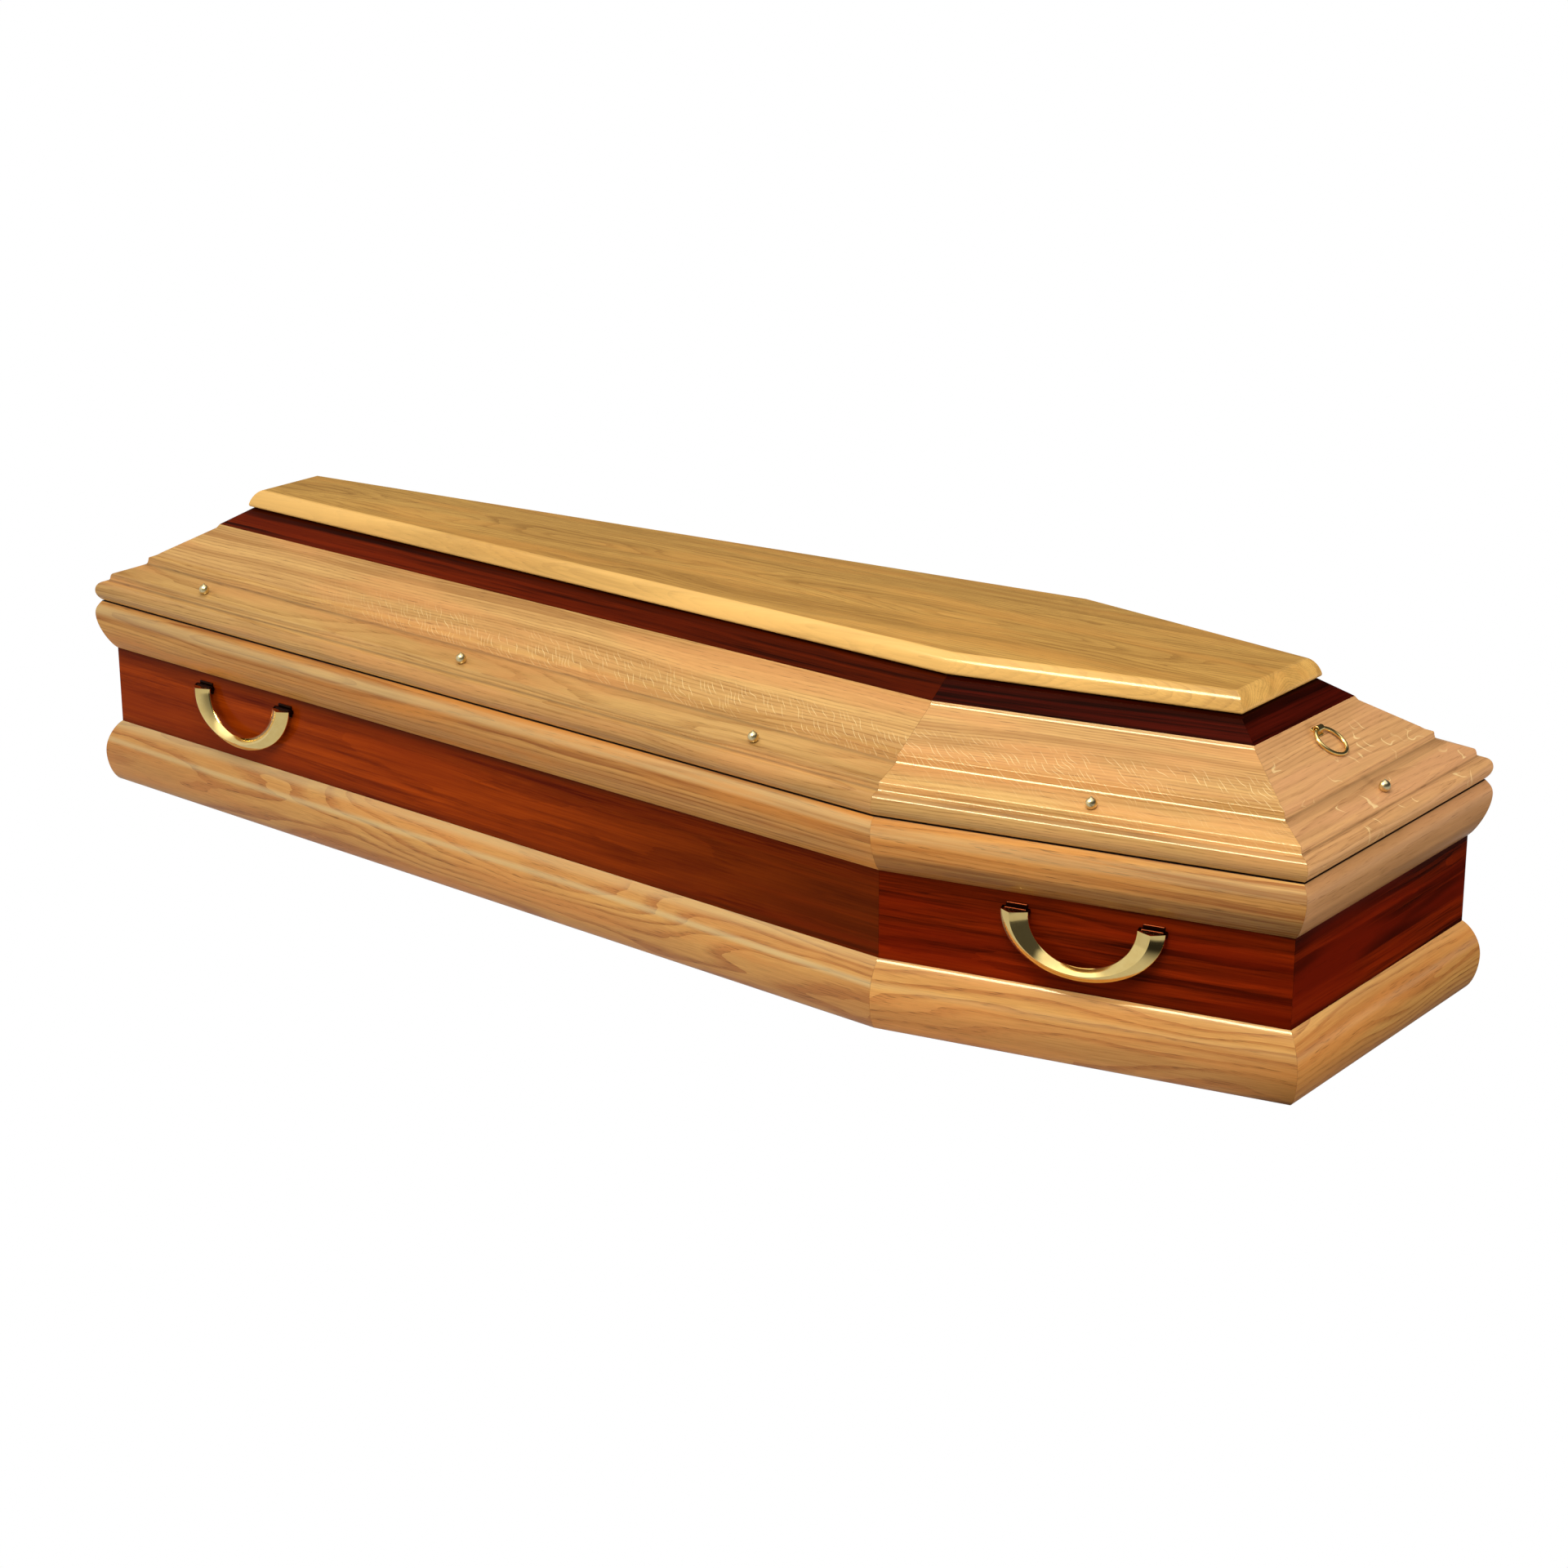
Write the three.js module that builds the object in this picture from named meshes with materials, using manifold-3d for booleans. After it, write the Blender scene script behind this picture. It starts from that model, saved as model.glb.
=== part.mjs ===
// A wooden coffin with shoulders, a hollow box and a lift-off hollow lid, with brass swing handles.
//
// Millimetres, +Z up. The origin is on the floor under the middle of the coffin. +X points to the
// head end, and left and right are those of a person lying inside, so the left side faces -Y.
// Every wooden section is drawn as (d, z): d is the distance out from the face of the walls, and
// negative d lies inside it. The boards of one section run round the plan and meet in mitres.

import * as THREE from 'three';
import { mergeVertices } from 'three/addons/utils/BufferGeometryUtils.js';
import Module from 'manifold-3d';

// Plan, measured to the outer face of the walls
const LENGTH = 2000;
const HEAD_WIDTH = 448;
const SHOULDER_WIDTH = 647;
const FOOT_WIDTH = 424;
const SHOULDER_FROM_HEAD = 520;

// Box
const WALL = 22;
const FLOOR = 20;
const BASE_HEIGHT = 91;
const PANEL_HEIGHT = 115;
const CORNICE_HEIGHT = 75;
const PARTING_SLIT = 0.7;
const BASE_SWELL = 20.3;
const BASE_SWELL_HEIGHT = 43;
const BASE_FOOT = 9.5;
const CORNICE_SWELL = 21.8;
const CORNICE_SWELL_HEIGHT = 54;
const CORNICE_TOP = 13.5;

// Lid
const NOSE_SWELL = 20.5;
const NOSE_HEIGHT = 28.5;
const NOSE_SWELL_HEIGHT = 14;
const NOSE_SHOULDER = 4.4;
const ROUND_WIDTH = 7.9;
const ROUND_HEIGHT = 11.8;
const SHELF_WIDTH = 34;
const SHELF_HEIGHT = 12.6;
const STEP_WIDTH = 7.2;
const STEP_HEIGHT = 11.3;
const SLOPE_WIDTH = 69.8;
const SLOPE_HEIGHT = 41;
const BEVEL_WIDTH = 3.9;
const BEVEL_HEIGHT = 5.4;
const LID_BOARD = 20;
const BAND_WIDTH = 40;
const BAND_HEIGHT = 25.3;
const TOP_BOARD = 25;
const TOP_OVERHANG = 7.5;
const TOP_ROUND = 11.5;

// Swing handles
const HANDLE_FROM_FOOT = 294;
const FITTINGS_FROM_SHOULDER = 270;
const HANDLE_WIDTH = 210;
const HANDLE_DROP = 74;
const LEG_WIDTH = 35.6;
const BOW_WIDTH = 17;
const HANDLE_EDGE = 2;
const HANDLE_RIDGE = 10;
const HANDLE_LEAN = 7.5;
const PIVOT_OFF_WALL = 4.6;
const PIVOT_FROM_PANEL_TOP = 20;
const LEG_ABOVE_PIVOT = 1.5;
const PIN_RADIUS = 1.9;
const PIN_CLEARANCE = 0.4;
const EYE_RADIUS = 3.8;
const EAR = 3.4;
const EAR_CLEARANCE = 0.4;
const LUG_PLATE = 1.8;
const LUG_BELOW = 9;
const LUG_ABOVE = 7.5;

// Lid screws
const SCREW_FROM_FOOT = 202;
const SCREW_FROM_SHOULDER = 213;
const SCREW_ON_SHELF = 4.9;
const SCREW_RADIUS = 7.3;
const SCREW_MIDDLE = 6.3;
const SCREW_TIP_RADIUS = 1.3;
const SCREW_TIP = 1.6;

// Ring on the head end of the lid
const RING_RADIUS = 21.8;
const RING_WIRE = 2.5;
const RING_PIVOT_UP_SLOPE = 67.5;
const KNUCKLE_WIDTH = 13;
const KNUCKLE_RADIUS = 5;
const KNUCKLE_FOOT = 7.5;
const KNUCKLE_PLATE = 1.6;
const RING_CLEARANCE = 0.35;

// Gap that neighbouring pieces keep, and how finely curves are divided
const GAP = 0.3;
const CURVE_STEPS = 7;
const ROUND_SIDES = 16;
const BOW_STEPS = 22;

const BODY_HEIGHT = BASE_HEIGHT + PANEL_HEIGHT + CORNICE_HEIGHT;
const LID_BOTTOM = BODY_HEIGHT + GAP;

const OAK = new THREE.MeshStandardMaterial({ color: 0xc89a62, roughness: 0.3, metalness: 0 });
const DARK = new THREE.MeshStandardMaterial({ color: 0x5a1e0c, roughness: 0.2, metalness: 0 });
const BRASS = new THREE.MeshStandardMaterial({ color: 0xd8b45c, roughness: 0.15, metalness: 1 });

const wasm = await Module();
wasm.setup();

const coffin = new THREE.Group();

function addMesh(name, geometry, material, parent = coffin) {
  const mesh = new THREE.Mesh(geometry, material);
  mesh.name = name;
  parent.add(mesh);
  return mesh;
}

// Plan: six corners, counterclockwise from above, and the side that starts at each corner

const CORNERS = [
  new THREE.Vector2(-LENGTH / 2, -FOOT_WIDTH / 2),
  new THREE.Vector2(LENGTH / 2 - SHOULDER_FROM_HEAD, -SHOULDER_WIDTH / 2),
  new THREE.Vector2(LENGTH / 2, -HEAD_WIDTH / 2),
  new THREE.Vector2(LENGTH / 2, HEAD_WIDTH / 2),
  new THREE.Vector2(LENGTH / 2 - SHOULDER_FROM_HEAD, SHOULDER_WIDTH / 2),
  new THREE.Vector2(-LENGTH / 2, FOOT_WIDTH / 2),
];
const SIDE_NAMES = ['left_long', 'left_short', 'head_end', 'right_short', 'right_long', 'foot_end'];

// One side: its start, direction, outward normal and length at the face of the walls.
function sideOf(index) {
  const start = CORNERS[index];
  const end = CORNERS[(index + 1) % CORNERS.length];
  const along = end.clone().sub(start);
  const length = along.length();
  along.normalize();
  const out = new THREE.Vector2(along.y, -along.x);
  return { index, name: SIDE_NAMES[index], start, along, out, length };
}

const SIDES = SIDE_NAMES.map((name, index) => sideOf(index));

// A corner of the plan moved out by d: both of its sides move out by d.
function cornerAt(index, d) {
  const after = SIDES[index % SIDES.length];
  const before = SIDES[(index + SIDES.length - 1) % SIDES.length];
  const bisector = before.out.clone().add(after.out).normalize();
  const reach = d / bisector.dot(after.out);
  return after.start.clone().addScaledVector(bisector, reach);
}

// A board or moulding with the given (d, z) section along one side, mitred at both ends.
function mitredBoard(side, section) {
  const geometry = new THREE.ExtrudeGeometry(section, {
    depth: 1,
    steps: 1,
    bevelEnabled: false,
    curveSegments: CURVE_STEPS,
  });
  const positions = geometry.attributes.position;
  for (let i = 0; i < positions.count; i += 1) {
    const d = positions.getX(i);
    const z = positions.getY(i);
    const atStart = positions.getZ(i) > 0.5;
    const corner = cornerAt(atStart ? side.index : side.index + 1, d);
    corner.addScaledVector(side.along, atStart ? GAP / 2 : -GAP / 2);
    positions.setXYZ(i, corner.x, corner.y, z);
  }
  return geometry;
}

function addBoards(kind, section, material) {
  for (const side of SIDES) {
    addMesh(`${kind}_${side.name}`, mitredBoard(side, section), material);
  }
}

// A slab over the whole plan whose edge follows (d, z) points listed from the bottom up.
function planSlab(edge) {
  const corners = SIDES.length;
  const vertices = [];
  const faces = [];
  for (const [d, z] of edge) {
    for (let corner = 0; corner < corners; corner += 1) {
      const place = cornerAt(corner, d);
      vertices.push(place.x, place.y, z);
    }
  }
  for (let level = 0; level < edge.length - 1; level += 1) {
    for (let corner = 0; corner < corners; corner += 1) {
      const next = (corner + 1) % corners;
      const low = level * corners;
      const high = low + corners;
      faces.push(low + corner, low + next, high + next);
      faces.push(low + corner, high + next, high + corner);
    }
  }
  const last = (edge.length - 1) * corners;
  for (let corner = 1; corner < corners - 1; corner += 1) {
    faces.push(0, corner + 1, corner);
    faces.push(last, last + corner, last + corner + 1);
  }
  const geometry = new THREE.BufferGeometry();
  geometry.setAttribute('position', new THREE.Float32BufferAttribute(vertices, 3));
  geometry.setIndex(faces);
  geometry.computeVertexNormals();
  return geometry;
}

// Box: floor, walls, swelling base moulding and ogee cornice

function wallSection() {
  const section = new THREE.Shape();
  section.moveTo(-WALL, 0);
  section.lineTo(0, 0);
  section.lineTo(0, BODY_HEIGHT);
  section.lineTo(-WALL, BODY_HEIGHT);
  section.closePath();
  return section;
}

function baseSection() {
  const below = BASE_SWELL_HEIGHT;
  const above = BASE_HEIGHT - BASE_SWELL_HEIGHT;
  const section = new THREE.Shape();
  section.moveTo(GAP, 0);
  section.lineTo(BASE_FOOT, 0);
  section.bezierCurveTo(
    BASE_FOOT + (BASE_SWELL - BASE_FOOT) * 0.65, below * 0.23,
    BASE_SWELL, below * 0.65,
    BASE_SWELL, below,
  );
  section.bezierCurveTo(
    BASE_SWELL, below + above * 0.48,
    BASE_SWELL * 0.34, below + above * 0.91,
    GAP, BASE_HEIGHT,
  );
  section.closePath();
  return section;
}

function corniceSection() {
  const bottom = BASE_HEIGHT + PANEL_HEIGHT;
  const top = BODY_HEIGHT - PARTING_SLIT;
  const swell = bottom + CORNICE_SWELL_HEIGHT;
  const section = new THREE.Shape();
  section.moveTo(GAP, bottom);
  section.bezierCurveTo(
    CORNICE_SWELL * 0.39, bottom + CORNICE_SWELL_HEIGHT * 0.13,
    CORNICE_SWELL, bottom + CORNICE_SWELL_HEIGHT * 0.63,
    CORNICE_SWELL, swell,
  );
  section.bezierCurveTo(
    CORNICE_SWELL, swell + (top - swell) * 0.49,
    CORNICE_TOP + (CORNICE_SWELL - CORNICE_TOP) * 0.48, swell + (top - swell) * 0.73,
    CORNICE_TOP, top,
  );
  section.lineTo(GAP, top);
  section.closePath();
  return section;
}

const FLOOR_EDGE = -WALL - GAP;
addMesh('bottom_board', planSlab([[FLOOR_EDGE, 0], [FLOOR_EDGE, FLOOR]]), OAK);
addBoards('wall', wallSection(), DARK);
addBoards('base_moulding', baseSection(), OAK);
addBoards('cornice_moulding', corniceSection(), OAK);

// Lid: the outline climbs inwards through a nose, a sloping shelf, a step and a long slope

const NOSE_TOP = LID_BOTTOM + NOSE_HEIGHT;
const SHELF = { d: NOSE_SHOULDER - ROUND_WIDTH, z: NOSE_TOP + ROUND_HEIGHT };
const STEP = { d: SHELF.d - SHELF_WIDTH, z: SHELF.z + SHELF_HEIGHT };
const SLOPE = { d: STEP.d - STEP_WIDTH, z: STEP.z + STEP_HEIGHT };
const SLOPE_TOP = { d: SLOPE.d - SLOPE_WIDTH, z: SLOPE.z + SLOPE_HEIGHT };
const BAND = { d: SLOPE_TOP.d - BEVEL_WIDTH, z: SLOPE_TOP.z + BEVEL_HEIGHT };
const BAND_TOP = { d: BAND.d - BAND_WIDTH, z: BAND.z + BAND_HEIGHT };

// Unit vectors up the dark band and square to it, into the lid.
const BAND_LENGTH = Math.hypot(BAND_WIDTH, BAND_HEIGHT);
const UP_BAND = { d: -BAND_WIDTH / BAND_LENGTH, z: BAND_HEIGHT / BAND_LENGTH };
const INTO_BAND = { d: -UP_BAND.z, z: UP_BAND.d };

function lidSection() {
  const noseSwell = LID_BOTTOM + NOSE_SWELL_HEIGHT;
  const noseFoot = CORNICE_TOP;
  const section = new THREE.Shape();
  section.moveTo(-WALL, LID_BOTTOM);
  section.lineTo(noseFoot, LID_BOTTOM);
  section.bezierCurveTo(
    noseFoot + (NOSE_SWELL - noseFoot) * 0.57, LID_BOTTOM + NOSE_SWELL_HEIGHT * 0.25,
    NOSE_SWELL, LID_BOTTOM + NOSE_SWELL_HEIGHT * 0.63,
    NOSE_SWELL, noseSwell,
  );
  section.bezierCurveTo(
    NOSE_SWELL, noseSwell + (NOSE_TOP - noseSwell) * 0.58,
    NOSE_SHOULDER + (NOSE_SWELL - NOSE_SHOULDER) * 0.6, noseSwell + (NOSE_TOP - noseSwell) * 0.85,
    NOSE_SHOULDER, NOSE_TOP,
  );
  section.bezierCurveTo(
    NOSE_SHOULDER - ROUND_WIDTH * 0.12, NOSE_TOP + ROUND_HEIGHT * 0.38,
    NOSE_SHOULDER - ROUND_WIDTH * 0.45, NOSE_TOP + ROUND_HEIGHT * 0.97,
    SHELF.d, SHELF.z,
  );
  section.lineTo(STEP.d, STEP.z);
  section.bezierCurveTo(
    STEP.d - STEP_WIDTH * 0.15, STEP.z + STEP_HEIGHT * 0.4,
    STEP.d - STEP_WIDTH * 0.4, STEP.z + STEP_HEIGHT * 0.92,
    SLOPE.d, SLOPE.z,
  );
  section.lineTo(SLOPE_TOP.d, SLOPE_TOP.z);
  section.lineTo(BAND.d, BAND.z);
  section.lineTo(BAND.d + INTO_BAND.d * LID_BOARD, BAND.z + INTO_BAND.z * LID_BOARD);
  const slopeLength = Math.hypot(SLOPE_WIDTH, SLOPE_HEIGHT);
  const inner = {
    d: SLOPE.d - (SLOPE_HEIGHT / slopeLength) * LID_BOARD,
    z: SLOPE.z - (SLOPE_WIDTH / slopeLength) * LID_BOARD,
  };
  section.lineTo(inner.d, inner.z);
  section.lineTo(-WALL, SHELF.z - LID_BOARD);
  section.closePath();
  return section;
}

function bandSection() {
  const start = { d: BAND.d + UP_BAND.d * GAP, z: BAND.z + UP_BAND.z * GAP };
  const innerStart = {
    d: start.d + INTO_BAND.d * LID_BOARD,
    z: start.z + INTO_BAND.z * LID_BOARD,
  };
  const climb = (BAND_TOP.z - innerStart.z) / UP_BAND.z;
  const section = new THREE.Shape();
  section.moveTo(start.d, start.z);
  section.lineTo(BAND_TOP.d, BAND_TOP.z);
  section.lineTo(innerStart.d + UP_BAND.d * climb, BAND_TOP.z);
  section.lineTo(innerStart.d, innerStart.z);
  section.closePath();
  return section;
}

// The edge of the top board: a small round below, a nearly upright edge and a wide round above.
function topBoardEdge() {
  const edge = BAND_TOP.d + TOP_OVERHANG;
  const bottom = BAND_TOP.z + GAP;
  const top = bottom + TOP_BOARD;
  const curve = new THREE.CubicBezierCurve(
    new THREE.Vector2(edge, bottom + TOP_BOARD * 0.25),
    new THREE.Vector2(edge - TOP_ROUND * 0.05, bottom + TOP_BOARD * 0.65),
    new THREE.Vector2(edge - TOP_ROUND * 0.45, bottom + TOP_BOARD * 0.97),
    new THREE.Vector2(edge - TOP_ROUND, top),
  );
  const round = curve.getPoints(CURVE_STEPS).map((point) => [point.x, point.y]);
  return [
    [edge - TOP_ROUND * 0.45, bottom],
    [edge - TOP_ROUND * 0.12, bottom + TOP_BOARD * 0.12],
    ...round,
  ];
}

addBoards('lid_board', lidSection(), OAK);
addBoards('lid_dark_band', bandSection(), DARK);
addMesh('lid_top_board', planSlab(topBoardEdge()), OAK);

// Fittings stand in a frame of their own: +X along the wall, -Y out of it and +Z up.
function wallFrame(side, distance) {
  const frame = new THREE.Group();
  const place = side.start.clone().addScaledVector(side.along, distance);
  frame.position.set(place.x, place.y, 0);
  frame.rotation.z = Math.atan2(side.along.y, side.along.x);
  coffin.add(frame);
  return frame;
}

function toSolid(geometry) {
  const clean = geometry.clone();
  clean.deleteAttribute('normal');
  clean.deleteAttribute('uv');
  const merged = mergeVertices(clean, 1e-4);
  return new wasm.Manifold(new wasm.Mesh({
    numProp: 3,
    vertProperties: new Float32Array(merged.attributes.position.array),
    triVerts: new Uint32Array(merged.index.array),
  }));
}

function toGeometry(solid) {
  const mesh = solid.getMesh();
  const geometry = new THREE.BufferGeometry();
  geometry.setAttribute('position', new THREE.BufferAttribute(mesh.vertProperties, 3));
  geometry.setIndex(new THREE.BufferAttribute(mesh.triVerts, 1));
  geometry.computeVertexNormals();
  return geometry;
}

// An outline in (distance off the wall, height) becomes a prism along the wall from x to x + width.
function wallPrism(outline, x, width) {
  const geometry = new THREE.ExtrudeGeometry(outline, {
    depth: width,
    steps: 1,
    bevelEnabled: false,
    curveSegments: ROUND_SIDES / 2,
  });
  const turn = new THREE.Matrix4().set(
    0, 0, 1, x,
    -1, 0, 0, 0,
    0, 1, 0, 0,
    0, 0, 0, 1,
  );
  geometry.applyMatrix4(turn);
  const index = [];
  for (let i = 0; i < geometry.attributes.position.count; i += 3) {
    index.push(i, i + 2, i + 1);
  }
  geometry.setIndex(index);
  return geometry;
}

// Swing handles: a bow with a sharp front ridge, two ears on each leg, and a pin from ear to ear

const PIVOT_HEIGHT = BASE_HEIGHT + PANEL_HEIGHT - PIVOT_FROM_PANEL_TOP;
const LEG_BACK = PIVOT_OFF_WALL + EYE_RADIUS + EAR_CLEARANCE;
const LUG_WIDTH = LEG_WIDTH - 2 * (EAR + EAR_CLEARANCE);
const LEG_MIDDLE = HANDLE_WIDTH / 2 - LEG_WIDTH / 2;

// The bow sweeps round from one leg to the other: at each step five points of its section lie on
// half ellipses of their own, and the whole leans out as it drops.
function bowGeometry() {
  const outer = { a: HANDLE_WIDTH / 2, b: HANDLE_DROP };
  const inner = { a: HANDLE_WIDTH / 2 - LEG_WIDTH, b: HANDLE_DROP - BOW_WIDTH };
  const ridge = {
    a: outer.a + (inner.a - outer.a) * 0.43,
    b: outer.b + (inner.b - outer.b) * 0.6,
  };
  const points = [
    { ...outer, off: LEG_BACK },
    { ...outer, off: LEG_BACK + HANDLE_EDGE },
    { ...ridge, off: LEG_BACK + HANDLE_EDGE + HANDLE_RIDGE },
    { ...inner, off: LEG_BACK + HANDLE_EDGE },
    { ...inner, off: LEG_BACK },
  ];
  const top = PIVOT_HEIGHT + LEG_ABOVE_PIVOT;
  const vertices = [];
  for (let step = 0; step <= BOW_STEPS; step += 1) {
    const angle = (Math.PI * step) / BOW_STEPS;
    for (const point of points) {
      const drop = point.b * Math.sin(angle);
      const lean = (HANDLE_LEAN * drop) / HANDLE_DROP;
      vertices.push(point.a * Math.cos(angle), -(point.off + lean), top - drop);
    }
  }
  const count = points.length;
  const faces = [];
  for (let step = 0; step < BOW_STEPS; step += 1) {
    for (let i = 0; i < count; i += 1) {
      const next = (i + 1) % count;
      const here = step * count;
      const there = here + count;
      faces.push(here + i, there + next, there + i);
      faces.push(here + i, here + next, there + next);
    }
  }
  const last = BOW_STEPS * count;
  for (let i = 1; i < count - 1; i += 1) {
    faces.push(0, i + 1, i);
    faces.push(last, last + i, last + i + 1);
  }
  const geometry = new THREE.BufferGeometry();
  geometry.setAttribute('position', new THREE.Float32BufferAttribute(vertices, 3));
  geometry.setIndex(faces);
  return geometry;
}

function earOutline() {
  const inLeg = LEG_BACK + HANDLE_EDGE * 0.75;
  const outline = new THREE.Shape();
  outline.moveTo(PIVOT_OFF_WALL, PIVOT_HEIGHT - EYE_RADIUS);
  outline.absarc(PIVOT_OFF_WALL, PIVOT_HEIGHT, EYE_RADIUS, -Math.PI / 2, Math.PI / 2, true);
  outline.lineTo(inLeg, PIVOT_HEIGHT + LEG_ABOVE_PIVOT * 0.9);
  outline.lineTo(inLeg, PIVOT_HEIGHT - EYE_RADIUS);
  outline.closePath();
  return outline;
}

function handleGeometry() {
  let solid = toSolid(bowGeometry());
  for (const side of [-1, 1]) {
    const middle = side * LEG_MIDDLE;
    const farEar = middle + LEG_WIDTH / 2 - EAR;
    const nearEar = middle - LEG_WIDTH / 2;
    solid = solid.add(toSolid(wallPrism(earOutline(), farEar, EAR)));
    solid = solid.add(toSolid(wallPrism(earOutline(), nearEar, EAR)));
    const pin = new THREE.CylinderGeometry(PIN_RADIUS, PIN_RADIUS, LEG_WIDTH - EAR, ROUND_SIDES);
    pin.rotateZ(Math.PI / 2);
    pin.translate(middle, -PIVOT_OFF_WALL, PIVOT_HEIGHT);
    solid = solid.add(toSolid(pin));
  }
  return toGeometry(solid);
}

// The lug screwed to the wall: a plate with a barrel that the pin turns in.
function lugOutline() {
  const front = GAP + LUG_PLATE;
  const meet = Math.acos((front - PIVOT_OFF_WALL) / EYE_RADIUS);
  const outline = new THREE.Shape();
  outline.moveTo(GAP, PIVOT_HEIGHT - LUG_BELOW);
  outline.lineTo(front, PIVOT_HEIGHT - LUG_BELOW);
  outline.lineTo(front, PIVOT_HEIGHT - EYE_RADIUS * Math.sin(meet));
  outline.absarc(PIVOT_OFF_WALL, PIVOT_HEIGHT, EYE_RADIUS, -meet, meet, false);
  outline.lineTo(front, PIVOT_HEIGHT + LUG_ABOVE);
  outline.lineTo(GAP, PIVOT_HEIGHT + LUG_ABOVE);
  outline.closePath();
  const bore = new THREE.Path();
  bore.absarc(PIVOT_OFF_WALL, PIVOT_HEIGHT, PIN_RADIUS + PIN_CLEARANCE, 0, 2 * Math.PI, false);
  outline.holes.push(bore);
  return outline;
}

function addHandle(name, side, distance) {
  const frame = wallFrame(side, distance);
  addMesh(`handle_${name}`, handleGeometry(), BRASS, frame);
  const lugs = { foot: -LEG_MIDDLE, head: LEG_MIDDLE };
  const towardsHead = side.along.x > 0;
  for (const [end, middle] of Object.entries(lugs)) {
    const place = towardsHead ? middle : -middle;
    const geometry = wallPrism(lugOutline(), place - LUG_WIDTH / 2, LUG_WIDTH);
    addMesh(`handle_lug_${name}_${end}`, geometry, BRASS, frame);
  }
}

const [LEFT_LONG, LEFT_SHORT, HEAD_END, RIGHT_SHORT, RIGHT_LONG, FOOT_END] = SIDES;
addHandle('left_foot', LEFT_LONG, HANDLE_FROM_FOOT);
addHandle('left_head', LEFT_SHORT, FITTINGS_FROM_SHOULDER);
addHandle('right_head', RIGHT_SHORT, RIGHT_SHORT.length - FITTINGS_FROM_SHOULDER);
addHandle('right_foot', RIGHT_LONG, RIGHT_LONG.length - HANDLE_FROM_FOOT);

// Lid screws: upright ball heads with a small tip, their feet cut to the slope of the shelf

function screwGeometry() {
  const profile = [];
  const highest = Math.PI / 2 - 0.35;
  for (let step = 0; step <= CURVE_STEPS; step += 1) {
    const angle = -Math.PI / 2 + ((highest + Math.PI / 2) * step) / CURVE_STEPS;
    profile.push(new THREE.Vector2(
      SCREW_RADIUS * Math.cos(angle),
      SCREW_MIDDLE + SCREW_RADIUS * Math.sin(angle),
    ));
  }
  profile.push(new THREE.Vector2(SCREW_TIP_RADIUS, SCREW_MIDDLE + SCREW_RADIUS));
  profile.push(new THREE.Vector2(SCREW_TIP_RADIUS * 0.7, SCREW_MIDDLE + SCREW_RADIUS + SCREW_TIP));
  profile.push(new THREE.Vector2(0, SCREW_MIDDLE + SCREW_RADIUS + SCREW_TIP));
  profile[0].x = 0;
  const ball = new THREE.LatheGeometry(profile, ROUND_SIDES);
  ball.rotateX(Math.PI / 2);
  // In the wall's frame the shelf falls towards -Y.
  const size = 4 * SCREW_RADIUS;
  const shelf = new THREE.BoxGeometry(size, size, size);
  shelf.translate(0, 0, -size / 2);
  shelf.rotateX(Math.atan2(SHELF_HEIGHT, SHELF_WIDTH));
  return toGeometry(toSolid(ball).subtract(toSolid(shelf)));
}

function addScrew(name, side, distance) {
  const frame = wallFrame(side, distance);
  const inwards = SCREW_ON_SHELF - SHELF.d;
  const surface = SHELF.z + (SCREW_ON_SHELF * SHELF_HEIGHT) / SHELF_WIDTH;
  const screw = addMesh(`lid_screw_${name}`, screwGeometry(), BRASS, frame);
  screw.position.set(0, inwards, surface + GAP);
}

addScrew('left_foot', LEFT_LONG, SCREW_FROM_FOOT);
addScrew('left_middle', LEFT_LONG, LEFT_LONG.length / 2);
addScrew('left_shoulder', LEFT_LONG, LEFT_LONG.length - SCREW_FROM_SHOULDER);
addScrew('left_head', LEFT_SHORT, FITTINGS_FROM_SHOULDER);
addScrew('head_end', HEAD_END, HEAD_END.length / 2);
addScrew('right_head', RIGHT_SHORT, RIGHT_SHORT.length - FITTINGS_FROM_SHOULDER);
addScrew('right_shoulder', RIGHT_LONG, SCREW_FROM_SHOULDER);
addScrew('right_middle', RIGHT_LONG, RIGHT_LONG.length / 2);
addScrew('right_foot', RIGHT_LONG, RIGHT_LONG.length - SCREW_FROM_FOOT);
addScrew('foot_end', FOOT_END, FOOT_END.length / 2);

// Ring on the head end's slope: a knuckle holds it, and it lies back on the board below

const SLOPE_ANGLE = Math.atan2(SLOPE_HEIGHT, SLOPE_WIDTH);
const RING_SAG = (KNUCKLE_WIDTH * KNUCKLE_WIDTH) / (8 * RING_RADIUS);
const RING_REACH = RING_RADIUS - RING_SAG / 2;
const BORE_RADIUS = RING_WIRE + RING_SAG / 2 + RING_CLEARANCE;
const AXIS_HEIGHT = GAP + KNUCKLE_RADIUS;
const RING_DIP = Math.asin((AXIS_HEIGHT - RING_WIRE - GAP) / (RING_REACH + RING_RADIUS));

// +X across the slope, -Y down it and +Z square to it, with the origin on the board at the pivot.
function slopeFrame() {
  const wall = wallFrame(HEAD_END, HEAD_END.length / 2);
  const slope = new THREE.Group();
  const up = RING_PIVOT_UP_SLOPE;
  slope.position.set(
    0,
    -(SLOPE.d - up * Math.cos(SLOPE_ANGLE)),
    SLOPE.z + up * Math.sin(SLOPE_ANGLE),
  );
  slope.rotation.x = SLOPE_ANGLE;
  wall.add(slope);
  return slope;
}

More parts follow.
